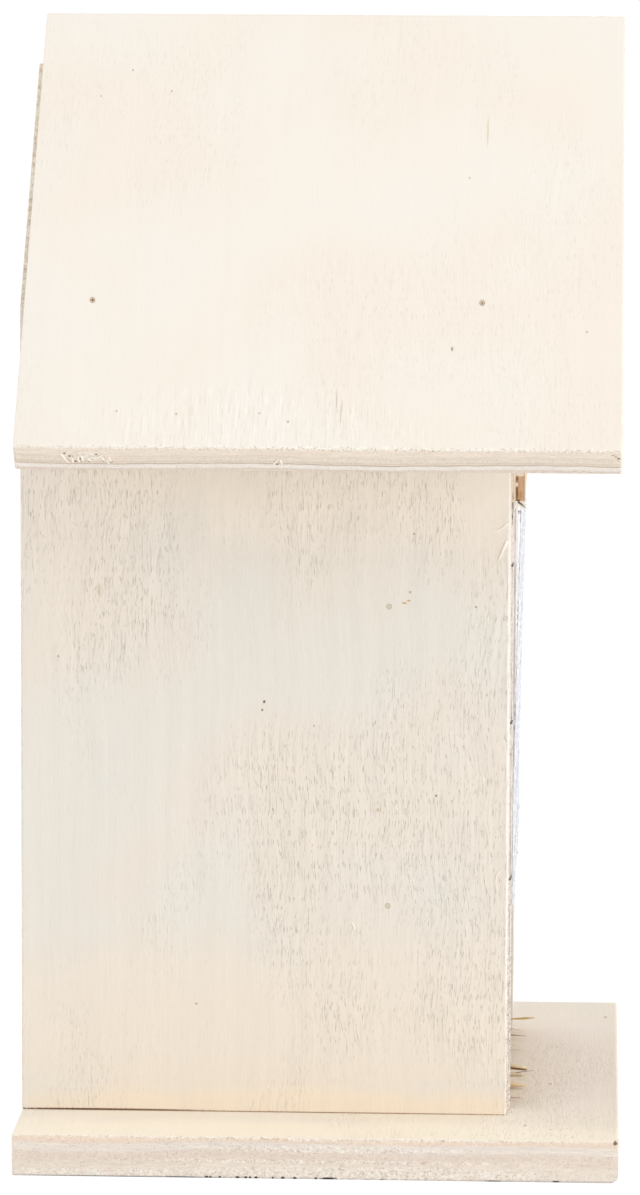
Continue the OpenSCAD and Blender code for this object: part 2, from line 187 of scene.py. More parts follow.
# Veneer: rotary-cut light wood with its grain along the board's own Y, in millimetres
veneer, given, kept = new_group("veneer face", [("Place", "Vector", (0, 0, 0)), ("Streaks", "Float", 1.0)],
                                ("Tone", "Cloud", "Pores", "Fibres", "Height"))
place = given["Place"]
bent = vector("MULTIPLY_ADD", clouds(place, 0.035, 1.0)[1], (5, 0, 0), place)[0]
broad = stretched_noise(bent, (0.35, 0.012, 0.3), 3.0, 0.6)
fine = stretched_noise(bent, (2.6, 0.045, 1.0), 3.0, 0.65)
patch = fade(stretched_noise(place, (0.03, 0.018, 0.03)), 0.42, 0.62)
lines = times(minus(fine, 0.5), times_plus(patch, 0.75, 0.35))
tone = times_plus(minus(broad, 0.5), 0.45, times(lines, 1.2))
dashes = stretched_noise(bent, (4.2, 0.42, 2.0), 1.0)
pores = times(fade(dashes, 0.64, 0.74), times_plus(patch, 0.8, 0.2))
curled = vector("MULTIPLY_ADD", clouds(place, 0.35, 1.0)[1], (0.7, 0, 0), bent)[0]
torn = stretched_noise(curled, (2.9, 0.15, 2.0), 2.0, 0.55)
fibres = times(fade(torn, 0.58, 0.68), times_plus(patch, 0.85, 0.15))
height = times_plus(pores, -0.06, times_plus(fibres, 0.07, times(fine, 0.06)))
feed(kept, {"Tone": times(tone, given["Streaks"]), "Cloud": clouds(place, 0.022)[0], "Pores": pores,
            "Fibres": fibres, "Height": height})

# Ply edge: how deep a point lies in the stack of veneers, and the sawn fibres there
ply_edge, given, kept = new_group(
    "ply edge", [("Place", "Vector", (0, 0, 0)), ("Facing", "Vector", (0, 0, 0)), ("Thickness", "Float", 9.0)],
    ("Depth", "Tone", "Pores", "Chips", "Grit", "Height"))
place, thickness = given["Place"], given["Thickness"]
parts = axes(place)
wave = minus(stretched_noise(place, (0.16, 0.16, 0.05), 4.0, 0.55), 0.5)
drift = minus(stretched_noise(place, (0.016, 0.016, 0.0), 0.0), 0.5)
inside = fade(calc("DIVIDE", size_of(parts[2]), thickness), 0.5, 0.3)
inside = times(inside, calc("DIVIDE", thickness, 9.0))
wave = times(times_plus(drift, 5.0, wave), inside)
waved = calc("ADD", wave, parts[2])
depth = calc("ADD", calc("DIVIDE", waved, thickness), 0.5)
crosswise = ((0.0, 1), (0.2, 0), (0.42, 1), (0.62, 0), (0.84, 1))
cross = ramp(depth, [(at, (on, on, on, 1)) for at, on in crosswise], "CONSTANT")
end_on = fade(size_of(axes(given["Facing"])[1]), 0.4, 0.6)
across = size_of(minus(put("ShaderNodeSeparateColor", {0: cross}).outputs[0], end_on))
rippled = put("ShaderNodeCombineXYZ", {0: parts[0], 1: parts[1], 2: waved}).outputs[0]
long_lines = stretched_noise(rippled, (0.22, 0.22, 3.0), 5.0, 0.75)
cut_ends = stretched_noise(rippled, (1.5, 1.5, 1.3), 5.0, 0.8)
blend = calc("ADD", times(long_lines, across), times(cut_ends, minus(1.0, across)))
dots = fade(stretched_noise(place, (3.6, 3.6, 3.0), 1.0), 0.62, 0.72)
chip_area = fade(stretched_noise(place, (0.05, 0.05, 0.3), 1.0), 0.50, 0.62)
chips = times(chip_area, fade(stretched_noise(place, (1.1, 1.1, 2.2), 3.0, 0.7), 0.54, 0.64))
feed(kept, {"Depth": depth, "Tone": minus(blend, 0.5), "Pores": dots, "Chips": chips,
            "Grit": stretched_noise(place, (1.7, 1.7, 2.0), 3.0, 0.8),
            "Height": times_plus(blend, 0.22, times(dots, -0.10))})

# Speck: one small dark mark on a board, of its own width and length
speck, given, kept = new_group(
    "speck", [("Place", "Vector", (0, 0, 0)), ("Centre", "Vector", (0, 0, 0)),
              ("Size", "Vector", (0.3, 0.3, 1)), ("Fray", "Float", 2.5)], ("Mask",))
away = vector("DIVIDE", vector("SUBTRACT", given["Place"], given["Centre"])[0], given["Size"])[0]
ragged = clouds(given["Place"], given["Fray"])[0]
reach = calc("ADD", vector("LENGTH", away)[1], times(minus(ragged, 0.5), 0.8))
feed(kept, {"Mask": fade(reach, 1.2, 0.5)})


def board_turn(grain, outward):
    """The turn from a board's own axes (Y along the grain, Z out of its face) to the house's"""
    grain, outward = Vector(grain).normalized(), Vector(outward).normalized()
    return Matrix((grain.cross(outward), grain, outward)).transposed().to_euler()


def plywood(name, node, grain, outward, thickness, pale, warm, layers, streaks=1.0, specks=(), painted_light=(),
            rough=(), raw_front=None, middle=None, torn=1.0, chipped=0.5, frayed=()):
    """A board's plywood on its own axes, with its marks. Each mark starts with x, y, z, width and length in
    millimetres. A shade ends a patch of painted light and follows in a speck, before depth and fray; a rough
    place has its depth and how brown it is."""
    low, high = (Vector(corner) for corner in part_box(node))
    centre = Vector(middle) if middle else (low + high) / 2
    turn = board_turn(grain, outward)
    to_own = turn.to_matrix().transposed()
    finish, tree, shader = new_material(name)
    around = source(tree, "ShaderNodeTexCoord", "Object")
    place = put("ShaderNodeMapping", {"Vector": around, "Location": centre, "Rotation": turn,
                                      "Scale": (0.001, 0.001, 0.001)}, vector_type="TEXTURE").outputs[0]
    normal = source(tree, "ShaderNodeNewGeometry", "Normal")
    facing = put("ShaderNodeMapping", {"Vector": normal, "Rotation": turn}, vector_type="TEXTURE").outputs[0]
    face = put("ShaderNodeGroup", {"Place": place, "Streaks": streaks}, node_tree=veneer).outputs
    edge = put("ShaderNodeGroup", {"Place": place, "Facing": facing, "Thickness": thickness},
               node_tree=ply_edge).outputs
    sizes = [size_of(part) for part in axes(facing)]
    is_face = fade(sizes[2], 0.72, 0.95)
    most = calc("MAXIMUM", sizes[0], calc("MAXIMUM", sizes[1], sizes[2]))
    arris = fade(minus(1.0, most), 0.02, 0.2)

    def mark(x, y, z, wide, long, deep=12.0, fray=2.5):
        spot = to_own @ (Vector((x, y, z)) / 1000 - centre) * 1000
        inputs = {"Place": place, "Centre": spot, "Size": (wide, long, deep), "Fray": fray}
        return put("ShaderNodeGroup", inputs, node_tree=speck).outputs[0]

    colour = tint(fade(face["Cloud"], 0.35, 0.65), srgb(*pale), srgb(*warm))
    # Patches of painted light: the board is made lighter in places, standing in for light the lamps don't give
    # there.
    for *spot, shade in painted_light:
        colour = lay(colour, shade, mark(*spot, fray=0.06))
    colour = shaded(colour, times_plus(face["Tone"], 0.16, 1.0))
    colour = lay(colour, (188, 172, 142), face["Pores"], 0.30 * torn)
    colour = lay(colour, (255, 248, 232), face["Fibres"], 0.5 * torn)
    for spot in frayed:
        here = times(mark(*spot, fray=0.06), 0.45)
        strands = stretched_noise(place, (2.4, 0.16, 2.4), 3.0, 0.7)
        colour = lay(colour, (255, 252, 246), here, fade(strands, 0.56, 0.64))
        colour = lay(colour, (226, 213, 196), here, fade(strands, 0.43, 0.36))
    sawn = ramp(edge["Depth"], [(at, srgb(*shade)) for at, shade in layers])
    sawn = shaded(sawn, times_plus(edge["Tone"], 0.62, 1.0))
    sawn = lay(sawn, (186, 160, 136), edge["Pores"], 0.28)
    sawn = lay(sawn, (250, 240, 222), edge["Chips"], chipped)
    if raw_front:
        forward = fade(vector("DOT_PRODUCT", facing, to_own @ Vector((0, -1, 0)))[1], 0.8, 0.95)
        dirt = fade(stretched_noise(place, (1.6, 1.3, 0.3), 3.0, 0.7), 0.48, 0.56)
        dirt = times(dirt, times_plus(fade(axes(place)[1], -20.0, -80.0), 0.6, 0.25))
        broken = fade(stretched_noise(place, (0.4, 0.13, 0.4), 3.0, 0.7), 0.42, 0.56)
        core = fade(size_of(minus(edge["Depth"], 0.5)), 0.13, 0.05)
        dirt = calc("MAXIMUM", dirt, times(broken, core))
        # The pale tone is partly painted light; the greyed one is dirt.
        clean_and_lit, greyed = raw_front
        sawn = tint(times(forward, 0.85), sawn, tint(dirt, srgb(*clean_and_lit), srgb(*greyed)))
    colour = tint(is_face, sawn, colour)
    # Pale arrises: partly worn wood, partly a painted highlight where the bevels catch the light.
    wear_and_highlight = fade(stretched_noise(place, (0.8, 0.5, 0.8), 3.0, 0.7), 0.35, 0.6)
    colour = lay(colour, (255, 249, 236), arris, wear_and_highlight)
    for *spot, brown in rough:
        here = mark(*spot, fray=0.8)
        colour = lay(colour, (255, 251, 243), here, fade(edge["Grit"], 0.52, 0.60))
        colour = lay(colour, (176, 148, 120), times(here, brown), fade(edge["Grit"], 0.44, 0.36))
    for x, y, z, wide, long, shade, *more in specks:
        colour = lay(colour, shade, mark(x, y, z, wide, long, *more))
    height = calc("ADD", times(face["Height"], times(is_face, torn)),
                  times(edge["Height"], minus(1.0, is_face)))
    feed(shader, {"Base Color": colour, "Normal": bump(height), "Roughness": times_plus(is_face, -0.12, 0.86),
                  "Specular IOR Level": 0.25})
    return finish


def select_only(piece):
    bpy.ops.object.select_all(action="DESELECT")
    piece.select_set(True)
    bpy.context.view_layer.objects.active = piece


def worn_copy(node, name, finish, wear=0.0004):
    """A board of its CAD node's exact shape, with its long arrises rubbed a little round"""
    board = bpy.data.objects.new(name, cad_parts[node].data.copy())
    bpy.context.scene.collection.objects.link(board)
    select_only(board)
    bpy.ops.object.mode_set(mode="EDIT")
    bpy.ops.mesh.select_mode(type="EDGE")
    bpy.ops.mesh.select_all(action="SELECT")
    bpy.ops.mesh.remove_doubles(threshold=0.00001)
    bpy.ops.mesh.dissolve_limited(angle_limit=math.radians(0.5))
    bpy.ops.mesh.select_all(action="DESELECT")
    shape = bmesh.from_edit_mesh(board.data)
    for edge in shape.edges:
        is_long = edge.is_manifold and edge.calc_length() > 0.003
        edge.select = is_long and edge.calc_face_angle() > math.radians(30)
    bmesh.update_edit_mesh(board.data)
    bpy.ops.mesh.bevel(offset=wear, segments=3, affect="EDGES", clamp_overlap=False)
    bpy.ops.object.mode_set(mode="OBJECT")
    board.data.materials.clear()
    board.data.materials.append(finish)
    board.data.shade_flat()
    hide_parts(node)
    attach(board, "root")
    return board


# The lowest stop is grey: painted shadow along the bottom edge.
base_layers = [(0.0, (150, 146, 146)), (0.02, (214, 204, 194)), (0.05, (242, 231, 218)),
               (0.24, (242, 230, 216)), (0.34, (239, 225, 211)), (0.50, (235, 219, 205)),
               (0.60, (237, 222, 208)), (0.65, (242, 232, 221)), (0.80, (242, 231, 219)),
               (0.86, (243, 223, 205)), (1.0, (248, 229, 209))]
base_specks = [(-60, -44.9, 9, 0.3, 0.5, (150, 130, 112)), (-17.1, -50, 9, 0.4, 0.5, (170, 150, 134)),
               (57.5, -62.3, 9, 0.4, 0.6, (160, 140, 124)), (-63.6, -50.3, 9, 0.25, 0.3, (160, 140, 124)),
               (-75, -64.3, 8.7, 0.5, 2, (132, 108, 84), 0.5, 2.5),
               # Painted contact shadow: a grey line along the bottom of the left end, with dark dots along it.
               (-75, 42, 0, 26, 3, (118, 116, 122), 0.2, 1.2),
               (-75, 28.6, 0.1, 4.4, 3, (112, 110, 118), 0.2, 2.2),
               (-75, -38.3, 0.1, 2.2, 3, (70, 62, 62), 0.2, 2.2),
               (-75, -51.7, 0.15, 0.9, 3, (70, 62, 62), 0.25, 2.2),
               (-75, -14.4, 0.1, 0.5, 3, (100, 90, 88), 0.15, 2.5)]
base_specks += [(-75, y, 0.2, wide, 3, (60, 54, 58), 0.32, 2.2) for y, wide in (
    (23.1, 0.45), (22.3, 0.3), (20.3, 0.3), (16.5, 0.5), (14.7, 0.4), (13.8, 0.3), (12.5, 0.4), (8.9, 0.25),
    (6.8, 0.5), (4.2, 0.45), (-0.3, 0.3), (-3.0, 1.8))]
# Painted light: the base top is made lighter in front of the house and along the strip under the left eave,
# where the house and the roof shade it.
base_painted_light = [(0, -54, 9, 14, 60, (251, 241, 232)), (-72, 0, 9, 110, 15, (255, 245, 226))]
base_rough = [(-75, -14, 1.4, 44, 3, 1.7, 0.6), (-75, 44, 1.0, 26, 3, 0.9, 0.4),
              (-75, -6, 6.5, 34, 3, 0.8, 0.5), (-75, -6, 3.8, 50, 3, 0.5, 0.6),
              (-75, 0, 8.8, 64, 2, 0.5, 0.7)]
base_ply = plywood("plywood of the base plate", "base_plate", (1, 0, 0), (0, 0, 1), 9.0, (246, 237, 224),
                   (247, 236, 219), base_layers, 0.7, base_specks, base_painted_light, base_rough)
worn_copy("base_plate", "base_plate_board", base_ply)


# Side walls: two upright plywood panels, 8 mm thick, with their tops bevelled to the roof's
# pitch. Their front edges are cut rough and have greyed.
def pick(mesh_object, test, kind="verts"):
    """Selects what passes the test, in edit mode"""
    bpy.ops.mesh.select_mode(type={"verts": "VERT", "edges": "EDGE", "faces": "FACE"}[kind])
    bpy.ops.mesh.select_all(action="DESELECT")
    shape = bmesh.from_edit_mesh(mesh_object.data)
    for part in getattr(shape, kind):
        part.select = test(part)
    shape.select_flush_mode()
    bmesh.update_edit_mesh(mesh_object.data)


def start_edit():
    bpy.ops.object.mode_set(mode="EDIT")


def end_edit():
    bpy.ops.object.mode_set(mode="OBJECT")


front_y = -0.0414
wall_layers = [(0.0, (226, 208, 188)), (0.22, (238, 226, 210)), (0.27, (206, 184, 160)),
               (0.48, (234, 219, 202)), (0.54, (204, 182, 160)), (0.74, (238, 226, 212)),
               (0.80, (208, 186, 164)), (1.0, (240, 226, 206))]
# Front edges: pale wood, raised near white as painted light because the roof's overhang and the netting shade
# them, and the greyed dirt on them.
raw_front = ((255, 246, 240), (160, 140, 122))
wall_specks = [(-50, 12.3, 99.5, 0.3, 0.4, (120, 92, 70)), (-50, 56.9, 109, 0.25, 0.3, (190, 172, 150)),
               (-50, -17.9, 121.3, 0.6, 0.2, (204, 168, 120)),
               (-50, -18.8, 121.8, 0.5, 0.2, (204, 168, 120)), (-50, -25, 79.3, 0.25, 0.3, (150, 126, 100)),
               (-50, -19.1, 123.7, 0.3, 0.3, (200, 170, 130)),
               (-50, -33.3, 120.6, 0.25, 0.3, (170, 150, 124)),
               (-50, 12.7, 97.7, 0.25, 0.3, (150, 130, 108)), (-50, 26.9, 32.9, 0.25, 0.3, (180, 160, 136)),
               (-50, -12.4, 76.1, 0.3, 0.5, (214, 186, 150)), (-50, 48, 123.5, 0.25, 1.8, (214, 196, 168)),
               (-50, -19.9, 136.3, 0.25, 0.3, (190, 170, 146)), (-50, 1.5, 94.3, 0.2, 0.3, (190, 170, 146))]
# Painted shade: the first two marks are a dark line along the foot of the wall where it meets the base, darkest
# towards the back.
wall_specks += [(-50, 46, 9.15, 26, 0.34, (100, 64, 40)), (-50, 0, 9.1, 60, 0.16, (176, 146, 116)),
                # A pale line along the front arris: partly worn wood, partly a painted highlight where the
                # arris catches the light.
                (-50, -40.4, 97, 0.3, 105, (255, 249, 238), 0.6, 1.4),
                (-47.6, -40.9, 129.3, 0.6, 0.22, (48, 34, 26), 0.4),
                (-46.2, -41, 142.2, 3, 1.0, (128, 116, 104), 0.9, 2.0),
                (-44.2, -41.3, 141.0, 3, 0.6, (150, 144, 132), 0.8, 2.0),
                (-46.4, -41, 139.8, 3, 0.9, (96, 84, 76), 1.1, 2.0),
                (-46.6, -41, 138.5, 3, 0.6, (150, 134, 124), 0.8, 2.0),
                (-45.2, -41.1, 95.8, 3, 0.35, (130, 104, 104), 0.7, 2.0),
                (-46.4, -41, 88.0, 3, 0.3, (110, 84, 84), 0.6, 2.0)]
# Painted light: the left wall is made lighter and warmer towards its foot, where light bounces up from the base
# and the floor, and lighter under the eave, against the eave's shadow.
wall_painted_light = [(-50, 10, 28, 90, 22, (238, 227, 213)), (-50, 0, 9, 90, 6, (244, 229, 208)),
               (-50, 0, 156, 90, 22, (247, 236, 222))]
wall_rough = [(-46, -41.6, 24, 0.9, 50, 5, 0.8), (-46, -41.2, 22, 1.2, 18, 6, 1.0),
              (-46, -41.6, 110, 0.9, 60, 5, 0.5)]
left_ply = plywood("plywood of the left wall", "left_side_wall", (0, 0, 1), (-1, 0, 0), 8.0, (232, 227, 217),
                   (236, 226, 213), wall_layers, 1.4, wall_specks, wall_painted_light, wall_rough, raw_front, torn=1.3)
# The right wall's inner face just behind its front arris is painted almost white: painted light on a sliver
# that lies in shade.
right_ply = plywood("plywood of the right wall", "right_side_wall", (0, 0, 1), (1, 0, 0), 8.0, (236, 229, 218),
                    (238, 228, 213), wall_layers, 0.9, [(42, -41.2, 75, 1.0, 110, (255, 253, 249), 2.5, 0.5)],
                    raw_front=raw_front)
worn_copy("left_side_wall", "left_side_wall_board", left_ply)
right_wall = worn_copy("right_side_wall", "right_side_wall_board", right_ply)
start_edit()
pick(right_wall, lambda vert: vert.co.y < front_y + 0.0004 and vert.co.x < 0.0430)
bpy.ops.transform.translate(value=(0, 0.0005, 0))
end_edit()


# Splinters: pale strands that stand off the left wall's front arris, the eave's cut edge and the
# gable board's foot, one of them scorched. Each is a thin tapered sliver of torn veneer, 1 to 7 mm long.
def new_wire(name, radius):
    """A curve that becomes round wires or strands"""
    wire = bpy.data.curves.new(name, "CURVE")
    wire.dimensions = "3D"
    wire.bevel_depth = radius
    wire.bevel_resolution = 1
    wire.use_fill_caps = True
    return wire


def mesh_of(name, wire):
    made = bpy.data.objects.new(name, wire)
    bpy.context.scene.collection.objects.link(made)
    select_only(made)
    bpy.ops.object.convert(target="MESH")
    made = bpy.context.object
    made.data.shade_smooth()
    return made


slivers = [(0.46, [(-49.9, -39.9, 135.0), (-50.2, -39.5, 134.0), (-50.2, -38.8, 132.4), (-50.1, -37.9, 130.3)]),
           (0.26, [(-49.9, -40.3, 138.9), (-50.1, -39.4, 138.3), (-50.1, -38.4, 137.5), (-50.0, -36.9, 137.2)]),
           (0.22, [(-50.1, -6.9, 51.2), (-50.2, -7.4, 50.2), (-50.2, -6.9, 49.0), (-50.1, -6.2, 48.6)]),
           (0.18, [(-50.1, -38.9, 63.0), (-50.2, -38.2, 61.8), (-50.2, -38.0, 60.1), (-50.1, -38.3, 58.6)]),
           (0.34, [(-48.8, -41.9, 143.4), (-49.0, -41.7, 142.8), (-49.1, -41.5, 142.1), (-49.0, -41.2, 141.4)]),
           (0.32, [(-48.8, -42.3, 143.4), (-48.9, -42.2, 142.8), (-48.9, -42.1, 142.2), (-48.9, -42.0, 141.4)]),
           (0.44, [(-48.8, -42.5, 143.4), (-49.1, -42.8, 142.7), (-49.1, -43.2, 142.1), (-49.1, -43.9, 141.5)]),
           (0.34, [(-48.6, -42.4, 143.4), (-48.6, -42.6, 142.6), (-48.6, -42.8, 142.0), (-48.6, -42.9, 141.2)]),
           (0.34, [(-48.8, -43.1, 143.4), (-49.0, -43.5, 143.0), (-49.0, -43.9, 142.8), (-48.9, -44.3, 142.6)])]
scorched = [[(-49.0, -42.3, 143.3), (-49.5, -42.7, 143.0), (-49.5, -43.2, 142.6), (-49.4, -43.8, 142.1)]]
slivers += [(0.26, points) for points in scorched]
curls = ((53.3, -1.3, 51.5, 1.5), (51.0, 0.2, 50.7, 1.5), (49.8, 0.0, 49.3, 1.3), (49.0, -0.8, 48.5, 1.3),
         (47.7, 0.2, 46.8, 0.7), (46.8, 0.2, 44.4, -1.3), (44.8, -0.4, 44.0, 0.7), (43.7, 0.7, 43.2, 1.5),
         (43.3, -0.2, 42.6, 0.9), (8.8, 1.7, 7.7, -0.5), (7.3, 0.3, 6.7, 1.7))
for y, down, to_y, to_down in curls:
    knots = []
    for part, off in ((0.0, 0.0), (0.35, 0.45), (0.7, 0.6), (1.0, 0.4)):
        along, sunk = y + (to_y - y) * part, down + (to_down - down) * part
        knots.append((-84.0 + 0.707 * sunk - 0.707 * off, along, 156.3 - 0.707 * sunk - 0.707 * off))
    slivers.append((0.33, knots))
loose = new_wire("loose slivers", 0.001)
for name, first, second in (("pale torn wood", (255, 253, 247), (255, 244, 226)),
                            ("scorched wood", (128, 104, 82), (96, 74, 54))):
    torn_wood, tree, shader = new_material(name)
    streaks = stretched_noise(source(tree, "ShaderNodeTexCoord", "Object"), (3000, 900, 600))
    feed(shader, {"Base Color": tint(streaks, srgb(*first), srgb(*second)), "Roughness": 0.75})
    loose.materials.append(torn_wood)
for thick, points in slivers:
    strand = loose.splines.new("BEZIER")
    strand.material_index = 1 if points in scorched else 0
    strand.bezier_points.add(len(points) - 1)
    for number, (knot, point) in enumerate(zip(strand.bezier_points, points)):
        knot.co = Vector(point) / 1000
        knot.radius = thick * (1.0 - 0.26 * number)
        knot.handle_left_type = knot.handle_right_type = "AUTO"
splinters = mesh_of("torn_splinters", loose)
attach(splinters, "root")


# Back panel: one 5 mm board between the side walls, with the hanging hole near its top.
back_ply = plywood("plywood of the back panel", "back_panel", (0, 0, 1), (0, 1, 0), 5.0, (240, 230, 214),
                   (242, 226, 204), wall_layers, 0.9)
worn_copy("back_panel", "back_panel_board", back_ply, 0.0002)


# Shelves: three 5 mm boards between the side walls that part the rooms, nailed through the
# walls. Their front edges are rough like the walls'.
for level_name in ("lower_shelf", "upper_shelf", "attic_floor"):
    shelf_ply = plywood("plywood of the " + level_name.replace("_", " "), level_name, (1, 0, 0), (0, 0, 1), 5.0,
                        (240, 229, 212), (243, 227, 204), wall_layers, 0.8, raw_front=raw_front)
    shelf = worn_copy(level_name, level_name + "_board", shelf_ply, 0.0002)
    if level_name != "lower_shelf":
        start_edit()
        pick(shelf, lambda vert: vert.co.y < front_y + 0.0014)
        bpy.ops.transform.translate(value=(0, 0.0009, 0))
        end_edit()


# Roof: two 8 mm plywood panels at 45 degrees, the left one lapping over the right one at the
# ridge. The eaves are cut square and show the veneers.
roof_layers = [(0.0, (222, 205, 190)), (0.05, (240, 226, 212)), (0.12, (232, 216, 202)),
               (0.18, (250, 242, 233)), (0.30, (249, 240, 231)), (0.335, (198, 178, 160)),
               (0.375, (242, 228, 212)), (0.43, (232, 214, 197)), (0.47, (244, 231, 216)),
               (0.66, (240, 226, 210)), (0.70, (247, 234, 219)), (0.90, (248, 233, 217)),
               (1.0, (249, 235, 220))]
roof_specks = [(-81.7, 5.8, 163.8, 0.3, 0.4, (200, 182, 158)),
               (-12.1, 43.4, 233.4, 0.25, 0.4, (206, 190, 166)),
               (-67.5, -28.2, 178.0, 0.3, 0.7, (186, 166, 140)),
               (-17.5, 50, 228, 0.2, 0.3, (200, 182, 156)), (-16.4, 34.6, 229.1, 0.2, 0.4, (200, 182, 156)),
               (-79.9, 42, 165.6, 0.3, 0.3, (206, 186, 160)),
               (-64, -56.6, 181.5, 0.25, 0.4, (206, 190, 164)),
               (-80.4, 29.4, 165.1, 0.25, 0.4, (204, 184, 156)),
               (-33.7, -31, 211.8, 0.25, 0.4, (214, 196, 168)),
               (-80.1, 11.9, 165.4, 0.25, 0.3, (206, 186, 160)),
               (-24.4, -34.7, 221.1, 0.16, 4.6, (222, 206, 180)),
               (-85.6, -62.3, 157.9, 0.4, 3, (200, 174, 144), 0.2, 2.0),
               (-85.3, -62.9, 157.6, 0.4, 3, (184, 154, 122), 0.22, 2.0),
               (-84.9, -63.5, 157.2, 0.35, 3, (150, 116, 86), 0.35, 2.0)]
# Painted shadows: a dark speck on the eave's cut edge beside each pale curl.
roof_specks += [(-84.0 + 0.707 * down, y, 156.3 - 0.707 * down, 0.36, 3, (150, 132, 112), 0.32, 2.5)
                for y, down in ((52.5, -1.5), (51.5, -0.6), (50.3, 1.1), (49.4, 0.3), (48.7, 1.2), (47.3, 1.1),
                                (45.9, -1.2), (44.4, 0.9), (42.8, 1.3), (8.0, 1.6))]
roof_specks += [(-77.4, -4.2, 168.1, 0.14, 3.4, (214, 200, 180)),
                (-80.3, -5.2, 165.2, 0.14, 3.0, (214, 200, 180)),
                (-78.6, -5.4, 166.9, 0.14, 1.8, (222, 208, 190))]
slope = math.sqrt(0.5)
left_roof_ply = plywood("plywood of the left roof panel", "left_roof_panel", (slope, 0, slope),
                        (-slope, 0, slope), 8.0, (242, 235, 225), (242, 233, 220), roof_layers, 0.4,
                        roof_specks, torn=0.45,
                        rough=[(-84.4, 48.4, 156.7, 5.5, 2.2, 1.6, 0.8), (-86.6, 0, 158.6, 90, 0.8, 0.7, 0.6),
                               (0, -58, 245.5, 7, 0.8, 2, 1.0)], frayed=[(-82.7, 14, 162.8, 40, 13)],
                        middle=(-0.04057, -0.0005, 0.19929))
right_roof_ply = plywood("plywood of the right roof panel", "right_roof_panel", (-slope, 0, slope),
                         (slope, 0, slope), 8.0, (244, 236, 225), (243, 233, 219), roof_layers, 0.5, torn=0.6,
                         middle=(0.04057, -0.0005, 0.19929))
worn_copy("left_roof_panel", "left_roof_panel_board", left_roof_ply, 0.0006)
worn_copy("right_roof_panel", "right_roof_panel_board", right_roof_ply, 0.0006)


# Gable board: a thin laser-cut plywood board with six bee holes. The cut leaves its edges and
# the rims of the holes brown, but for the pale veneer at its back, which lies on the walls.
gable_layers = [(0.0, (250, 236, 218)), (0.08, (248, 232, 212)), (0.11, (214, 196, 176)),
                (0.15, (250, 236, 216)), (0.27, (247, 228, 202)), (0.32, (150, 112, 80)),
                (0.40, (202, 160, 122)), (0.55, (214, 172, 136)), (0.75, (217, 177, 142)),
                (0.90, (210, 170, 138)), (1.0, (198, 164, 136))]
gable_specks = [(-49, -42.6, 149.3, 0.5, 2, (255, 240, 218), 1.2, 2.0),
                (-49, -41.95, 145.3, 1.7, 2, (140, 104, 74), 0.28, 2.0),
                (-49, -41.95, 148.3, 0.5, 2, (134, 100, 72), 0.26, 2.0),
                (-49, -41.85, 147.0, 0.55, 2, (248, 230, 204), 0.3, 1.0),
                (-49, -41.06, 144.5, 1.2, 2, (126, 112, 96), 0.1, 2.0),
                (-49, -42.3, 143.6, 0.3, 2, (146, 108, 78), 0.5, 2.0),
                (-49, -42.7, 144.8, 0.9, 2, (196, 154, 104), 0.35, 1.5)]
gable_ply = plywood("plywood of the gable board", "gable_board", (1, 0, 0), (0, -1, 0), 2.9, (240, 224, 200),
                    (240, 216, 184), gable_layers, 0.9, gable_specks, middle=(0, -0.0422, 0.194), chipped=0.0)
gable_ply.node_tree.nodes["Principled BSDF"].inputs["Specular IOR Level"].default_value = 0.2
gable = worn_copy("gable_board", "gable_board_cut", gable_ply, 0.00012)
start_edit()
for side_x in (-0.0416, 0.0416):
    bpy.ops.mesh.select_all(action="SELECT")
    bpy.ops.mesh.bisect(plane_co=(side_x, 0, 0), plane_no=(1, 0, 0))
for inner, outer, back in ((0.0, 0.0417, 0.0006), (0.0417, 0.05, 0.00145)):
    pick(gable, lambda vert: vert.co.y > -0.04225 and inner <= abs(vert.co.x) < outer and vert.co.y < -0.0419)
    bpy.ops.transform.translate(value=(0, back, 0))
end_edit()


# Brads: thin dull steel pins, driven a little below the wood. Wood dust sticks to the rims of
# their heads, so that only the middles show dark.
steel, tree, shader = new_material("dull steel of the brads")
place = vector("MULTIPLY", source(tree, "ShaderNodeTexCoord", "Object"), (1000, 1000, 1000))[0]
rust = fade(clouds(place, 2.6, 3.0)[0], 0.4, 0.62)
roof_brad_z = 187.0
heads = [(side * 49.6, -14.6, z) for side in (-1, 1) for z in (55.0, 120.5)]
heads += [(side * 58.1, y, roof_brad_z) for side in (-1, 1) for y in (-34.3, 48.7)]
heads += [(side * 23.5, 64.6, 148.5) for side in (-1, 1)]
heads += [(side * 46.0, y, 0.2) for side in (-1, 1) for y in (-27.4, 11.8, 51.0)]
heads += [(side * 23.5, 62.5, 0.2) for side in (-1, 1)]
heads += [(side * 46.0, -43.5, z) for side in (-1, 1) for z in (157.0, 176.2)]
bare = None
for head in heads:
    small = 0.2 if head[2] == roof_brad_z and head[1] < 0 else 0.28
    mark = put("ShaderNodeGroup", {"Place": place, "Centre": head, "Size": (small, small, small)},
               node_tree=speck).outputs[0]
    bare = calc("MAXIMUM", bare, mark) if bare else mark
metal = tint(rust, srgb(112, 100, 90), srgb(140, 96, 60))
feed(shader, {"Base Color": tint(bare, srgb(214, 200, 180), metal), "Roughness": times_plus(rust, 0.3, 0.55),
              "Metallic": times(bare, times_plus(rust, -0.6, 0.8))})
for name in ("roof_brads", "base_brads", "shelf_brads", "gable_brads"):
    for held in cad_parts[name].material_slots:
        held.material = steel


# Straw: two layers of dry hollow stalks under the canes, of uneven length, with a few broken
# tips that stick out over the base plate.
def own_copy(master, name, turn):
    """A copy with its own mesh, set in place by one turn and move that go into the mesh"""
    made = bpy.data.objects.new(name, master.data.copy())
    made.data.transform(turn)
    bpy.context.scene.collection.objects.link(made)
    return made


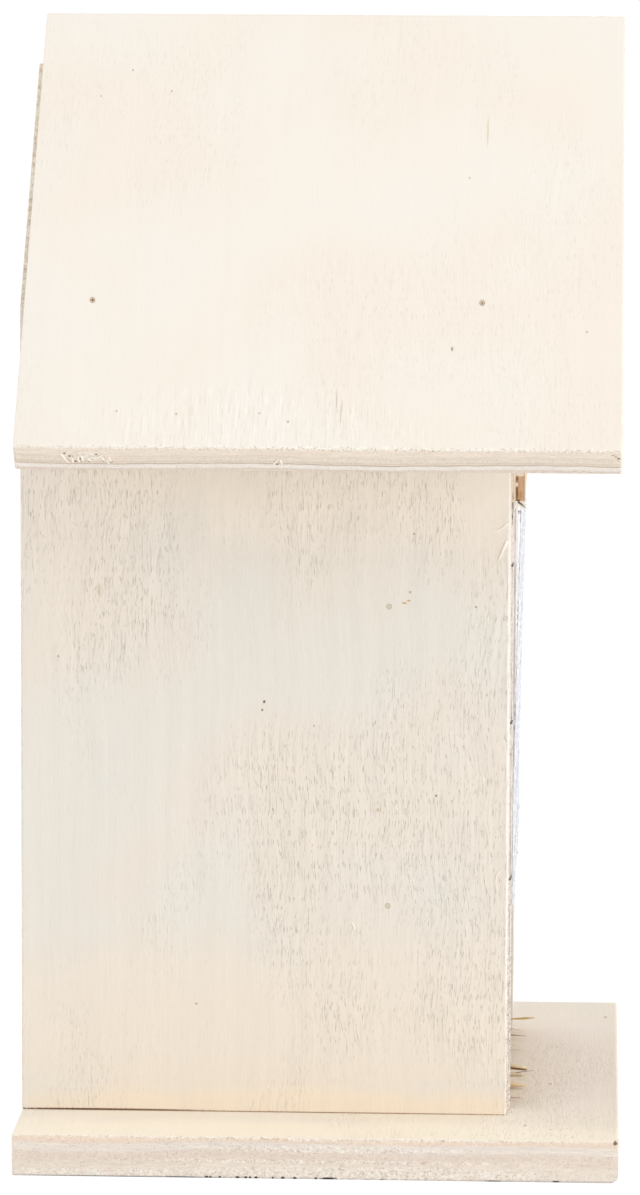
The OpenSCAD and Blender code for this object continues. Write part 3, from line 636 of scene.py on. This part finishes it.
def join_all(parts, name):
    bpy.ops.object.select_all(action="DESELECT")
    for part in parts:
        part.select_set(True)
    bpy.context.view_layer.objects.active = parts[0]
    bpy.ops.object.join()
    whole = bpy.context.object
    whole.name = name
    whole.data.name = name
    return whole


def new_primitive(add, **options):
    """Adds a primitive by itself, with its turn and place in its mesh"""
    bpy.ops.object.select_all(action="DESELECT")
    add(**options)
    bpy.ops.object.transform_apply()
    return bpy.context.object


def new_rod(sides, radius, length, middle):
    """A closed rod along Y, to be shaped"""
    return new_primitive(bpy.ops.mesh.primitive_cylinder_add, vertices=sides, radius=radius, depth=length,
                         end_fill_type="NGON", rotation=(math.radians(90), 0, 0), location=middle)


def select_all_parts():
    bpy.ops.mesh.select_all(action="SELECT")


def cut_across(places):
    """Cuts the piece in edit mode at each of these places along Y"""
    for place in places:
        select_all_parts()
        bpy.ops.mesh.bisect(plane_co=(0, place, 0), plane_no=(0, 1, 0))


def push_out(x, y, z):
    bpy.ops.mesh.extrude_region_move(TRANSFORM_OT_translate={"value": (x, y, z)})


def smooth_to(piece, degrees):
    piece.data.shade_smooth()
    piece.data.set_sharp_from_angle(angle=math.radians(degrees))


straw_finish, tree, shader = new_material("dry straw")
around = source(tree, "ShaderNodeTexCoord", "Object")
strands = stretched_noise(around, (5200, 60, 5200))
hue = ramp(stretched_noise(around, (430, 20, 430), 1.0),
           [(0.30, srgb(150, 122, 76)), (0.42, srgb(214, 178, 104)), (0.52, srgb(226, 200, 140)),
            (0.62, srgb(196, 150, 78)), (0.72, srgb(232, 210, 160))])
feed(shader, {"Base Color": shaded(hue, times_plus(strands, 0.7, 0.62)), "Roughness": 0.42,
              "Normal": bump(strands, 0.0001, 0.6)})

stalk_d, stalk_rise, stalk_pitch, room_back = 0.0024, 0.00199, 0.002244, 0.0597
first_stalk_x, first_stalk_z, stalk_bore_l = -0.0404, 0.0105, 0.06
stalk = new_rod(10, stalk_d / 2 - 0.00005, 1.0, (0, 0.5, 0))
start_edit()
pick(stalk, lambda face: face.normal.y < -0.9, "faces")
bpy.ops.mesh.inset(thickness=0.0003)
push_out(0, stalk_bore_l, 0)
end_edit()
stalks = []
for layer in range(2):
    for column in range(37 - layer):
        place = first_stalk_x + (column + layer / 2) * stalk_pitch
        wobble = noise.noise(Vector((column * 1.7, layer * 5.3, 0.2)))
        start = front_y + 0.0013 + 0.0055 * abs(noise.noise(Vector((column * 2.9, layer * 3.1, 7.7)))) * 2
        width = 0.86 + 0.14 * abs(math.sin(column * 3.3 + layer))
        turn = (Matrix.Translation((place, start, first_stalk_z + layer * stalk_rise))
                @ Matrix.Rotation(wobble * 0.012, 4, "Z") @ Matrix.Rotation(column * 1.1, 4, "Y")
                @ Matrix.Diagonal((width, room_back - start - 0.0005, width, 1)))
        stalks.append(own_copy(stalk, "stalk", turn))
bpy.data.objects.remove(stalk)
straw = join_all(stalks, "straw_bed_stalks")
straw.data.materials.append(straw_finish)
smooth_to(straw, 50)
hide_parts("straw_bed")
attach(straw, "root")

# Broken tips: across, height above the base plate, reach, rise towards the room, turn, thickness,
# colour, and which master: 0 tapered, 1 blunt, 2 a spindle with a thin root
tips = [(-35.4, 0.7, 2.6, 0.0, -3, 0.6, (206, 172, 158), 0),
        (-22.9, 0.8, 3.3, 0.1, -4, 1.9, (250, 218, 180), 0),
        (-7.4, 1.55, 3.2, 0.7, 1, 1.2, (255, 236, 200), 1),
        # The fourth is a thin dark brown stalk just under the third, painted shadow beneath it.
        (-7.0, 0.95, 3.3, 0.5, 1, 0.7, (150, 110, 70), 1),
        (-7.0, 0.9, 5.0, -1.0, 2, 0.3, (150, 138, 116), 0),
        (-9.6, 0.45, 2.6, 0.2, 3, 1.1, (255, 232, 198), 1),
        (15.8, 0.7, 3.7, 0.0, 2, 0.4, (232, 222, 200), 0),
        (20.0, 1.0, 2.4, 0.3, 9, 0.3, (230, 220, 204), 0),
        (30.8, 0.8, 2.7, 0.4, 6, 0.5, (214, 186, 164), 0),
        (31.6, 1.9, 2.0, 0.9, 12, 0.3, (226, 210, 192), 0),
        (37.6, 3.7, 4.5, -0.4, 3, 0.9, (232, 192, 126), 2),
        (38.6, 3.3, 3.4, -0.1, -3, 0.8, (248, 220, 168), 2)]
tip_shapes = [((-0.003, 0.25, 0.3), (-0.0022, 0.75, 0.5), (-0.0012, 1.05, 0.75), (0.0012, 0.9, 1.0)),
              ((-0.003, 0.8, 0.7), (-0.0022, 0.95, 0.9), (-0.0012, 1.05, 0.95), (0.0012, 0.9, 1.0)),
              ((-0.003, 0.25, 0.3), (-0.0022, 0.75, 0.6), (0.0, 0.8, 0.7), (0.0012, 0.3, 0.3),
               (0.003, 0.3, 0.3))]
base_top_mm, tip_root = 9.0, 0.003
masters = []
for shape in tip_shapes:
    tip = new_rod(8, 0.0004, 2 * tip_root, (0, 0, 0))
    start_edit()
    cut_across((-0.0022, -0.0012, 0.0, 0.0012))
    for reach, wide, tall in shape:
        pick(tip, lambda vert: abs(vert.co.y - reach) < 0.00005)
        bpy.ops.transform.resize(value=(wide, 1, tall), center_override=(0, reach, 0))
    end_edit()
    masters.append(tip)
for number, (x, up, out, rise, turned, thick, shade, master) in enumerate(tips):
    turn = (Matrix.Translation((x / 1000, front_y - out / 1000, (base_top_mm + up) / 1000))
            @ Matrix.Rotation(math.radians(turned), 4, "Z")
            @ Matrix.Rotation(math.atan2(rise, out + 2.0), 4, "X")
            @ Matrix.Diagonal((thick, (out + 3.0) / 6.0, 0.8 * thick, 1))
            @ Matrix.Translation((0, tip_root, 0)))
    broken = own_copy(masters[master], "straw_tip_%d" % (number + 1), turn)
    finish = straw_finish.copy()
    finish.name = "straw tip %d" % (number + 1)
    stops = next(found for found in finish.node_tree.nodes if found.bl_idname == "ShaderNodeValToRGB")
    for element, part in zip(stops.color_ramp.elements, (0.7, 0.9, 1.0, 0.84, 1.08)):
        element.color = srgb(*(min(255, value * part) for value in shade))
    broken.data.materials.append(finish)
    broken.data.shade_smooth()
    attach(broken, "root")
for tip in masters:
    bpy.data.objects.remove(tip)


# Bamboo canes: 17 cut lengths of thin bamboo that lie front to back in the open room. Each has
# a cross wall inside at its knot, where the outside swells into a ring.
def stored(tree, label, output="Vector"):
    return put("ShaderNodeAttribute", tree=tree, attribute_name=label).outputs[output]


def own_axes(tree, label):
    """The stored place, its three parts and the distance from the piece's own middle line"""
    along = stored(tree, label)
    parts = axes(along)
    return along, parts, calc("SQRT", calc("ADD", calc("POWER", parts[0], 2.0), calc("POWER", parts[2], 2.0)))


def end_mask(tree, low, high):
    return fade(size_of(axes(source(tree, "ShaderNodeNewGeometry", "Normal"))[1]), low, high)


bamboo, tree, shader = new_material("dry bamboo")
along, parts, radius = own_axes(tree, "along_cane")
skin = stretched_noise(along, (1.6, 0.03, 1.6), 3.0, 0.6)
blotch = stretched_noise(along, (0.16, 0.05, 0.16))
outside = tint(fade(blotch, 0.35, 0.65), srgb(214, 186, 120), srgb(196, 162, 92))
outside = lay(outside, (168, 132, 72), fade(skin, 0.5, 0.7), 0.5)
outside = lay(outside, (226, 206, 150), stored(tree, "cane_shade", "Fac"))
is_end = end_mask(tree, 0.6, 0.85)
flat = put("ShaderNodeCombineXYZ", {0: parts[0], 2: parts[2]}).outputs[0]
fibres = fade(put("ShaderNodeTexVoronoi", {"Vector": flat, "Scale": 2.9}).outputs["Distance"], 0.40, 0.14)
dense = fade(radius, 4.2, 6.6)
weathered = fade(stretched_noise(along, (0.35, 0.1, 0.35), 3.0, 0.6), 0.4, 0.62)
cut = tint(dense, srgb(232, 216, 174), srgb(212, 184, 128))
cut = lay(cut, (190, 160, 112), weathered, 0.6)
cut = lay(cut, (122, 88, 48), fibres, times_plus(dense, 0.4, 0.4))
colour = lay(outside, (206, 178, 120), fade(radius, 4.5, 4.3), minus(1.0, is_end))
height = times_plus(skin, 0.08, times(times(fibres, is_end), -0.08))
feed(shader, {"Base Color": tint(is_end, colour, cut), "Roughness": times_plus(is_end, 0.4, 0.38),
              "Normal": bump(height)})

grain_push = bpy.data.textures.new("uneven growth", "CLOUDS")
grain_push.noise_scale = 0.009
grain_push.noise_depth = 1


def uneven(piece, depth):
    """Sinks the surface here and there, never outwards, and applies it"""
    push = piece.modifiers.new("uneven", "DISPLACE")
    push.texture = grain_push
    push.texture_coords = "LOCAL"
    push.mid_level = 1.0
    push.strength = depth
    select_only(piece)
    bpy.ops.object.modifier_apply(modifier="uneven")


def mark_own_axes(piece, label, centre, shade_label=None, shade=0.0):
    """Stores each point's place on the piece's own axes, in millimetres, for the material"""
    layer = piece.data.attributes.new(label, "FLOAT_VECTOR", "POINT")
    for point, vert in zip(layer.data, piece.data.vertices):
        point.vector = (vert.co - centre) * 1000
    if shade_label:
        layer = piece.data.attributes.new(shade_label, "FLOAT", "POINT")
        for point in layer.data:
            point.value = shade


cane_pitch, cane_d, first_cane_z = 0.0139, 0.0137, 0.0208419
ring_swell, knot_l, rim_l = 0.0003, 0.003, 0.0004
cane_spots = [(row, column - (count - 1) / 2)
              for row, count in enumerate((6, 5, 6)) for column in range(count)]
for index, (row, across) in enumerate(cane_spots):
    x = across * cane_pitch
    z = first_cane_z + row * cane_pitch * math.sqrt(3) / 2
    bore = 0.008 + 0.0004 * ((index * 5) % 3 - 1)
    cell = 0.066 + 0.006 * ((index * 7) % 3 - 1)
    start = front_y + 0.0016 + 0.0006 * ((index * 3) % 4)
    knot = start + cell + knot_l / 2
    cane = new_rod(28, cane_d / 2 - ring_swell, room_back - start, (x, (start + room_back) / 2, z))
    cane.name = "bamboo_cane_%d_culm" % (index + 1)
    start_edit()
    cut_across([knot + step for step in (-0.0024, -0.0011, 0.0, 0.0011, 0.0024)] + [start + rim_l])
    cut_across([start + 0.009 * step for step in range(1, 7)])
    for ring_y, swell in ((knot - 0.0011, 1.042), (knot, 1.012), (knot + 0.0011, 1.044), (start, 0.985)):
        pick(cane, lambda vert: abs(vert.co.y - ring_y) < 0.00002)
        bpy.ops.transform.resize(value=(swell, 1, swell), center_override=(x, ring_y, z))
    for front, rim_y, deep, rim_part in (
            (-1, start, cell, 0.985), (1, room_back, room_back - start - cell - knot_l, 1.0)):
        pick(cane, lambda face: face.normal.y * front > 0.9 and len(face.verts) > 8, "faces")
        bpy.ops.mesh.inset(thickness=cane_d / 2 * rim_part - ring_swell - bore / 2)
        push_out(0, -front * rim_l, 0)
        bpy.ops.transform.resize(value=(0.97, 1, 0.97), center_override=(x, rim_y, z))
        push_out(0, -front * (deep - rim_l), 0)
    select_all_parts()
    bpy.ops.mesh.normals_make_consistent(inside=False)
    end_edit()
    uneven(cane, 0.00022)
    mark_own_axes(cane, "along_cane", Vector((x, start, z)), "cane_shade", ((index * 5) % 7) / 9)
    cane.data.materials.append(bamboo)
    smooth_to(cane, 42)
    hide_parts("bamboo_cane_%d" % (index + 1))
    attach(cane, "root")


# Pine cones: six small dry cones in the netted room. Woody scales overlap in a spiral, each
# thick and ridged at its open end and thin where it joins the core.
scale_wood, tree, shader = new_material("pine cone scales")
on_scale = stored(tree, "on_scale")
veins = stretched_noise(on_scale, (1.8, 0.35, 1.8), 3.0, 0.6)
patchy = clouds(source(tree, "ShaderNodeTexCoord", "Object"), 160.0)[0]
colour = tint(fade(axes(on_scale)[1], 2.6, 4.6), srgb(104, 66, 42), srgb(170, 122, 82))
colour = lay(colour, (84, 52, 34), fade(veins, 0.48, 0.66), 0.55)
colour = lay(colour, (190, 150, 110), fade(patchy, 0.5, 0.7), 0.45)
umbo = fade(vector("DISTANCE", on_scale, (0, 4.7, 1.2))[1], 1.3, 0.5)
feed(shader, {"Base Color": lay(colour, (206, 178, 142), umbo, 0.7), "Roughness": 0.62,
              "Normal": bump(veins, 0.0004)})

scale_r, scale_steps = 0.0052, 78
scale = new_primitive(bpy.ops.mesh.primitive_circle_add, vertices=10, radius=scale_r, fill_type="NGON")
scale.name = "cone_scale"
start_edit()
select_all_parts()
push_out(0, 0, 0.0007)
bpy.ops.mesh.inset(thickness=0.0016)
bpy.ops.transform.translate(value=(0, 0.0010, 0.0005))
bpy.ops.mesh.inset(thickness=0.0018)
bpy.ops.transform.translate(value=(0, 0.0012, 0.0006))
select_all_parts()
bpy.ops.mesh.normals_make_consistent(inside=False)
pick(scale, lambda vert: vert.co.y < -0.0015)
bpy.ops.transform.resize(value=(0.62, 1, 0.7), center_override=(0, 0, 0))
pick(scale, lambda vert: vert.co.y < -0.004)
bpy.ops.transform.resize(value=(0.6, 1.5, 0.8), center_override=(0, -0.003, 0))
pick(scale, lambda vert: vert.co.y > 0.003)
bpy.ops.transform.translate(value=(0, -0.0004, 0.0007))
end_edit()
mark_own_axes(scale, "on_scale", Vector((0, 0, 0)))

cone_d, cone_l, golden = 0.0346, 0.0474, math.radians(137.508)
core = new_primitive(bpy.ops.mesh.primitive_uv_sphere_add, segments=14, ring_count=8, radius=1.0,
                     rotation=(math.radians(90), 0, 0))
core.name = "cone_core"
mark_own_axes(core, "on_scale", Vector((0, 0, 0)))
for number in range(6):
    node = "pine_cone_%d" % (number + 1)
    low, high = (Vector(corner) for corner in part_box(node))
    middle, front = (low + high) / 2, low.y
    turn = Matrix.Translation((middle.x, front + cone_l * 0.5, middle.z))
    parts_of_cone = [own_copy(core, "core", turn @ Matrix.Diagonal((0.0085, cone_l * 0.46, 0.0085, 1)))]
    for step in range(scale_steps):
        t = step / (scale_steps - 1)
        reach = cone_d / 2 * math.sqrt(1 - ((t - 0.62) / (0.64 if t < 0.62 else 0.62)) ** 2)
        size = 0.5 + 0.5 * math.sin(math.radians(15 + 120 * t))
        lean = math.radians(75 - 66 * t)
        from_tip = 0.0062 + t * (cone_l - 0.0085)
        spread = reach - scale_r * size * math.cos(lean) - 0.0014 * size
        turn = (Matrix.Translation((middle.x, front, middle.z)) @ Matrix.Rotation(math.radians(-90), 4, "X")
                @ Matrix.Rotation(number * 0.7 + step * golden, 4, "Z")
                @ Matrix.Translation((0, spread, from_tip)) @ Matrix.Rotation(-lean, 4, "X")
                @ Matrix.Rotation(math.radians(180), 4, "Y") @ Matrix.Diagonal((size, size, size, 1)))
        parts_of_cone.append(own_copy(scale, "scale", turn))
    cone = join_all(parts_of_cone, node + "_scales")
    cone.data.materials.append(scale_wood)
    smooth_to(cone, 38)
    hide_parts(node)
    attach(cone, "root")
bpy.data.objects.remove(scale)
bpy.data.objects.remove(core)


# Twigs: 13 straight sawn lengths of round wood with their bark on, in the netted upper room.
# Their ends show growth rings, saw marks and a few cracks.
bark, tree, shader = new_material("twig bark and sawn ends")
along, parts, radius = own_axes(tree, "along_twig")
shade_of = stored(tree, "twig_shade", "Fac")
rough = stretched_noise(along, (0.9, 0.25, 0.9), 4.0, 0.65)
spots_on = fade(stretched_noise(along, (1.1, 1.6, 1.1), 1.0), 0.62, 0.7)
outside = tint(fade(rough, 0.36, 0.62), srgb(104, 80, 58), srgb(150, 124, 96))
outside = lay(outside, (196, 176, 148), spots_on, 0.6)
outside = lay(outside, (120, 104, 84), shade_of)
wobble = times_plus(stretched_noise(along, (0.35, 0.35, 0.5)), 2.6, radius)
rings = stretched_noise(put("ShaderNodeCombineXYZ", {0: wobble}).outputs[0], (1.9, 0, 0), 2.0, 0.6)
saw = stretched_noise(along, (5.0, 1.2, 1.6), 3.0, 0.7)
cut = tint(fade(rings, 0.38, 0.62), srgb(224, 198, 152), srgb(204, 170, 122))
cut = lay(cut, (178, 142, 100), fade(saw, 0.5, 0.7), 0.45)
crack = times_plus(rings, 0.7, calc("ARCTAN2", parts[0], parts[2]))
crack = times(size_of(calc("SINE", times_plus(shade_of, 9.0, crack))), radius)
cut = lay(cut, (104, 76, 52), fade(crack, 0.16, 0.05), fade(shade_of, 0.2, 0.5))
cut = lay(cut, (150, 108, 70), fade(radius, 0.8, 0.35))
cut = lay(cut, (104, 76, 52), fade(radius, 4.9, 5.2))
is_end = end_mask(tree, 0.7, 0.9)
feed(shader, {"Base Color": tint(is_end, outside, cut), "Roughness": 0.8,
              "Normal": bump(times(rough, times_plus(is_end, -0.4, 0.5)))})
set_back, lengths = 0.0020, 16
for index in range(13):
    node = "twig_%d" % (index + 1)
    low, high = (Vector(corner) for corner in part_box(node))
    low.y += set_back
    middle, long = (low + high) / 2, high.y - low.y
    twig = new_rod(26, (high.x - low.x) / 2, long, middle)
    twig.name = node + "_length"
    start_edit()
    pick(twig, lambda face: abs(face.normal.y) > 0.9, "faces")
    bpy.ops.mesh.bevel(offset=0.0005, segments=2, affect="EDGES")
    cut_across([low.y + step * long / lengths for step in range(1, lengths)])
    bud = low.y + (0.2 + 0.13 * ((index * 4) % 5)) * long
    pick(twig, lambda vert: abs(vert.co.y - bud) > 0.006 and min(vert.co.y - low.y, high.y - vert.co.y) > 0.001)
    bpy.ops.transform.resize(value=(0.955, 1, 0.955), center_override=middle)
    end_edit()
    uneven(twig, 0.0006)
    mark_own_axes(twig, "along_twig", Vector((middle.x, low.y, middle.z)), "twig_shade", ((index * 5) % 7) / 8)
    twig.data.materials.append(bark)
    smooth_to(twig, 50)
    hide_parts(node)
    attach(twig, "root")


# Wire netting: galvanised hexagonal netting. Single wires zigzag and twist round each other in
# pairs; the sides and the foot are closed by a straight wire. It leans out a little towards its top.
zinc, tree, shader = new_material("galvanised wire")
spangle = clouds(source(tree, "ShaderNodeTexCoord", "Object"), 900.0, 3.0)[0]
feed(shader, {"Base Color": tint(fade(spangle, 0.35, 0.65), srgb(222, 226, 233), srgb(241, 243, 248)),
              "Roughness": times_plus(spangle, 0.3, 0.3), "Metallic": 0.3})
mesh_w, wire_d, net_low, net_top, net_half, net_lean = 13.2, 0.42, 55.0, 143.15, 46.0, 76.0
mesh_rise, twist_l, twist_deep, twist_steps = mesh_w * math.sqrt(3) / 2, 6.6, 0.17, 16


def net_y(z):
    """The netting's middle, in front of the walls: flat below and leaning out towards its top"""
    return -41.62 - 0.019 * max(0.0, z - net_lean)


wires = []
for first in range(-4, 4):
    for way in (1, -1):
        even = (first + 0.5) * mesh_w
        odd = even + way * mesh_w / 2
        if abs(odd) > net_half:
            continue
        path = []
        for row in range(-1, 9):
            centre_z = net_low + (row + 0.5) * mesh_rise
            centre_x = odd if row % 2 else even
            inward = 1 if (way > 0) != bool(row % 2) else -1
            if abs(centre_x) > net_half:
                centre_x = math.copysign(net_half, centre_x)
            for step in range(twist_steps + 1):
                z = centre_z - twist_l / 2 + twist_l * step / twist_steps
                turn = (0 if inward > 0 else math.pi) + 4 * math.pi * step / twist_steps
                path.append(Vector((centre_x + wire_d / 2 * math.cos(turn),
                                    net_y(z) + twist_deep * math.sin(turn), z)))
        path = [point for point in path if net_low + 0.3 < point.z < net_top]
        wires.append(path)
for side_x in (-net_half, net_half):
    wires.append([Vector((side_x, net_y(z), z)) for z in (net_low, net_lean, 110.0, net_top)])
wires.append([Vector((x, net_y(net_low), net_low)) for x in (-net_half, -20.0, 20.0, net_half)])
ends = [[(-44.3, -42.8, 143.1), (-44.4, -43.0, 142.7), (-44.3, -43.3, 142.3), (-44.2, -43.7, 142.2)],
        [(-40.4, -42.8, 143.1), (-40.4, -43.1, 142.8), (-40.2, -43.5, 142.7), (-40.0, -43.9, 142.8)]]
wires += [[Vector(point) for point in end] for end in ends]
line = new_wire("netting wires", wire_d / 2000)
for path in wires:
    spline = line.splines.new("POLY")
    spline.points.add(len(path) - 1)
    for point, place in zip(spline.points, path):
        point.co = (*(place / 1000), 1)
netting = mesh_of("wire_netting_hexagonal", line)
netting.data.materials.append(zinc)
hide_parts("wire_netting")
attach(netting, "root")


# Staples: eight round-wire staples that hold the netting to the walls and the lower shelf.
# Each is one wire, bent twice, whose crown lies in front of the netting's edge wires.
wire_r, leg_l, crown_half, bend_r = 0.00025, 0.0055, 0.0010, 0.0005
staple = new_primitive(bpy.ops.mesh.primitive_circle_add, vertices=8, radius=wire_r, fill_type="NGON",
                       rotation=(math.radians(-90), 0, 0), location=(-crown_half - bend_r, 0.005, 0))
staple.name = "staple"
start_edit()
select_all_parts()
push_out(0, -leg_l, 0)
bpy.ops.mesh.spin(steps=4, angle=math.radians(90), center=(-crown_half, -bend_r, 0), axis=(0, 0, 1))
push_out(2 * crown_half, 0, 0)
bpy.ops.mesh.spin(steps=4, angle=math.radians(90), center=(crown_half, -bend_r, 0), axis=(0, 0, 1))
push_out(0, leg_l, 0)
select_all_parts()
bpy.ops.mesh.remove_doubles(threshold=0.00002)
bpy.ops.mesh.normals_make_consistent(inside=False)
end_edit()
staple_zinc = zinc.copy()
staple_zinc.name = "zinc of the staples"
tree = staple_zinc.node_tree
in_wood = fade(axes(source(tree, "ShaderNodeTexCoord", "Object"))[1], front_y, front_y + 0.0004)
feed(tree.nodes["Principled BSDF"], {"Base Color": tint(in_wood, srgb(234, 234, 236), srgb(58, 44, 36))})
staple_places = [(wall * net_half, net_low + (row + 0.5) * mesh_rise, 0)
                 for wall in (-1, 1) for row in (0, 3, 6)]
staple_places += [(side * 2 * mesh_w, net_low, 90) for side in (-1, 1)]
for number, (x, z, turned) in enumerate(staple_places):
    turn = Matrix.Translation((x / 1000, -0.04145, z / 1000)) @ Matrix.Rotation(math.radians(turned), 4, "Y")
    held = own_copy(staple, "netting_staple_%d" % (number + 1), turn)
    held.data.materials.append(staple_zinc)
    held.data.shade_smooth()
    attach(held, "root")
    if number == 0:
        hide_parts("netting_staples")
bpy.data.objects.remove(staple)


# Studio: a plain pale floor, a white surround, and soft lamps from the camera's side and above.
# The floor and the surround look white to the camera, and the floor keeps a faint shadow.
floor = new_primitive(bpy.ops.mesh.primitive_plane_add, size=24, location=(6, 0, 0))
floor.name = "studio_floor"
pale, tree, paper = new_material("studio floor")
feed(paper, {"Base Color": (0.94, 0.94, 0.94, 1), "Roughness": 1.0, "Specular IOR Level": 0.0})
seen = source(tree, "ShaderNodeLightPath", "Is Camera Ray")
white = put("ShaderNodeEmission", {"Color": (1, 1, 1, 1), "Strength": 0.82}, tree).outputs[0]
shadow = put("ShaderNodeBsdfDiffuse", {"Color": (0.28, 0.28, 0.28, 1)}, tree).outputs[0]
shown = put("ShaderNodeAddShader", {0: white, 1: shadow}).outputs[0]
both = put("ShaderNodeMixShader", {0: seen, 1: paper.outputs[0], 2: shown}).outputs[0]
feed(tree.nodes["Material Output"], {"Surface": both})
floor.data.materials.append(pale)

surround = bpy.data.worlds.new("white surround")
bpy.context.scene.world = surround
surround.use_nodes = True
tree = surround.node_tree
rays = put("ShaderNodeLightPath", tree=tree).outputs
direct = calc("MAXIMUM", rays["Is Glossy Ray"], rays["Is Transmission Ray"])
direct = calc("MAXIMUM", rays["Is Camera Ray"], direct)
soft, plain = (put("ShaderNodeBackground", {"Color": (1, 1, 1, 1), "Strength": strength}, tree).outputs[0]
               for strength in (0.82, 1.0))
lit = put("ShaderNodeMixShader", {0: direct, 1: soft, 2: plain}).outputs[0]
feed(tree.nodes["World Output"], {"Surface": lit})

lamps = (("key lamp", (-1.4, -1.1, 0.5), 1.6, 8.2), ("top lamp", (-0.5, 0.1, 1.8), 1.5, 3.3),
         ("front lamp", (-0.3, -1.8, 0.5), 1.4, 5.5))
house_middle = Vector((0, 0, 0.12))
for name, place, size, power in lamps:
    bpy.ops.object.light_add(type="AREA", location=place)
    lamp = bpy.context.object
    lamp.name = name
    lamp.data.size = size
    lamp.data.energy = power
    lamp.rotation_euler = (house_middle - Vector(place)).to_track_quat("-Z", "Y").to_euler()

bpy.context.scene.view_settings.view_transform = "Standard"
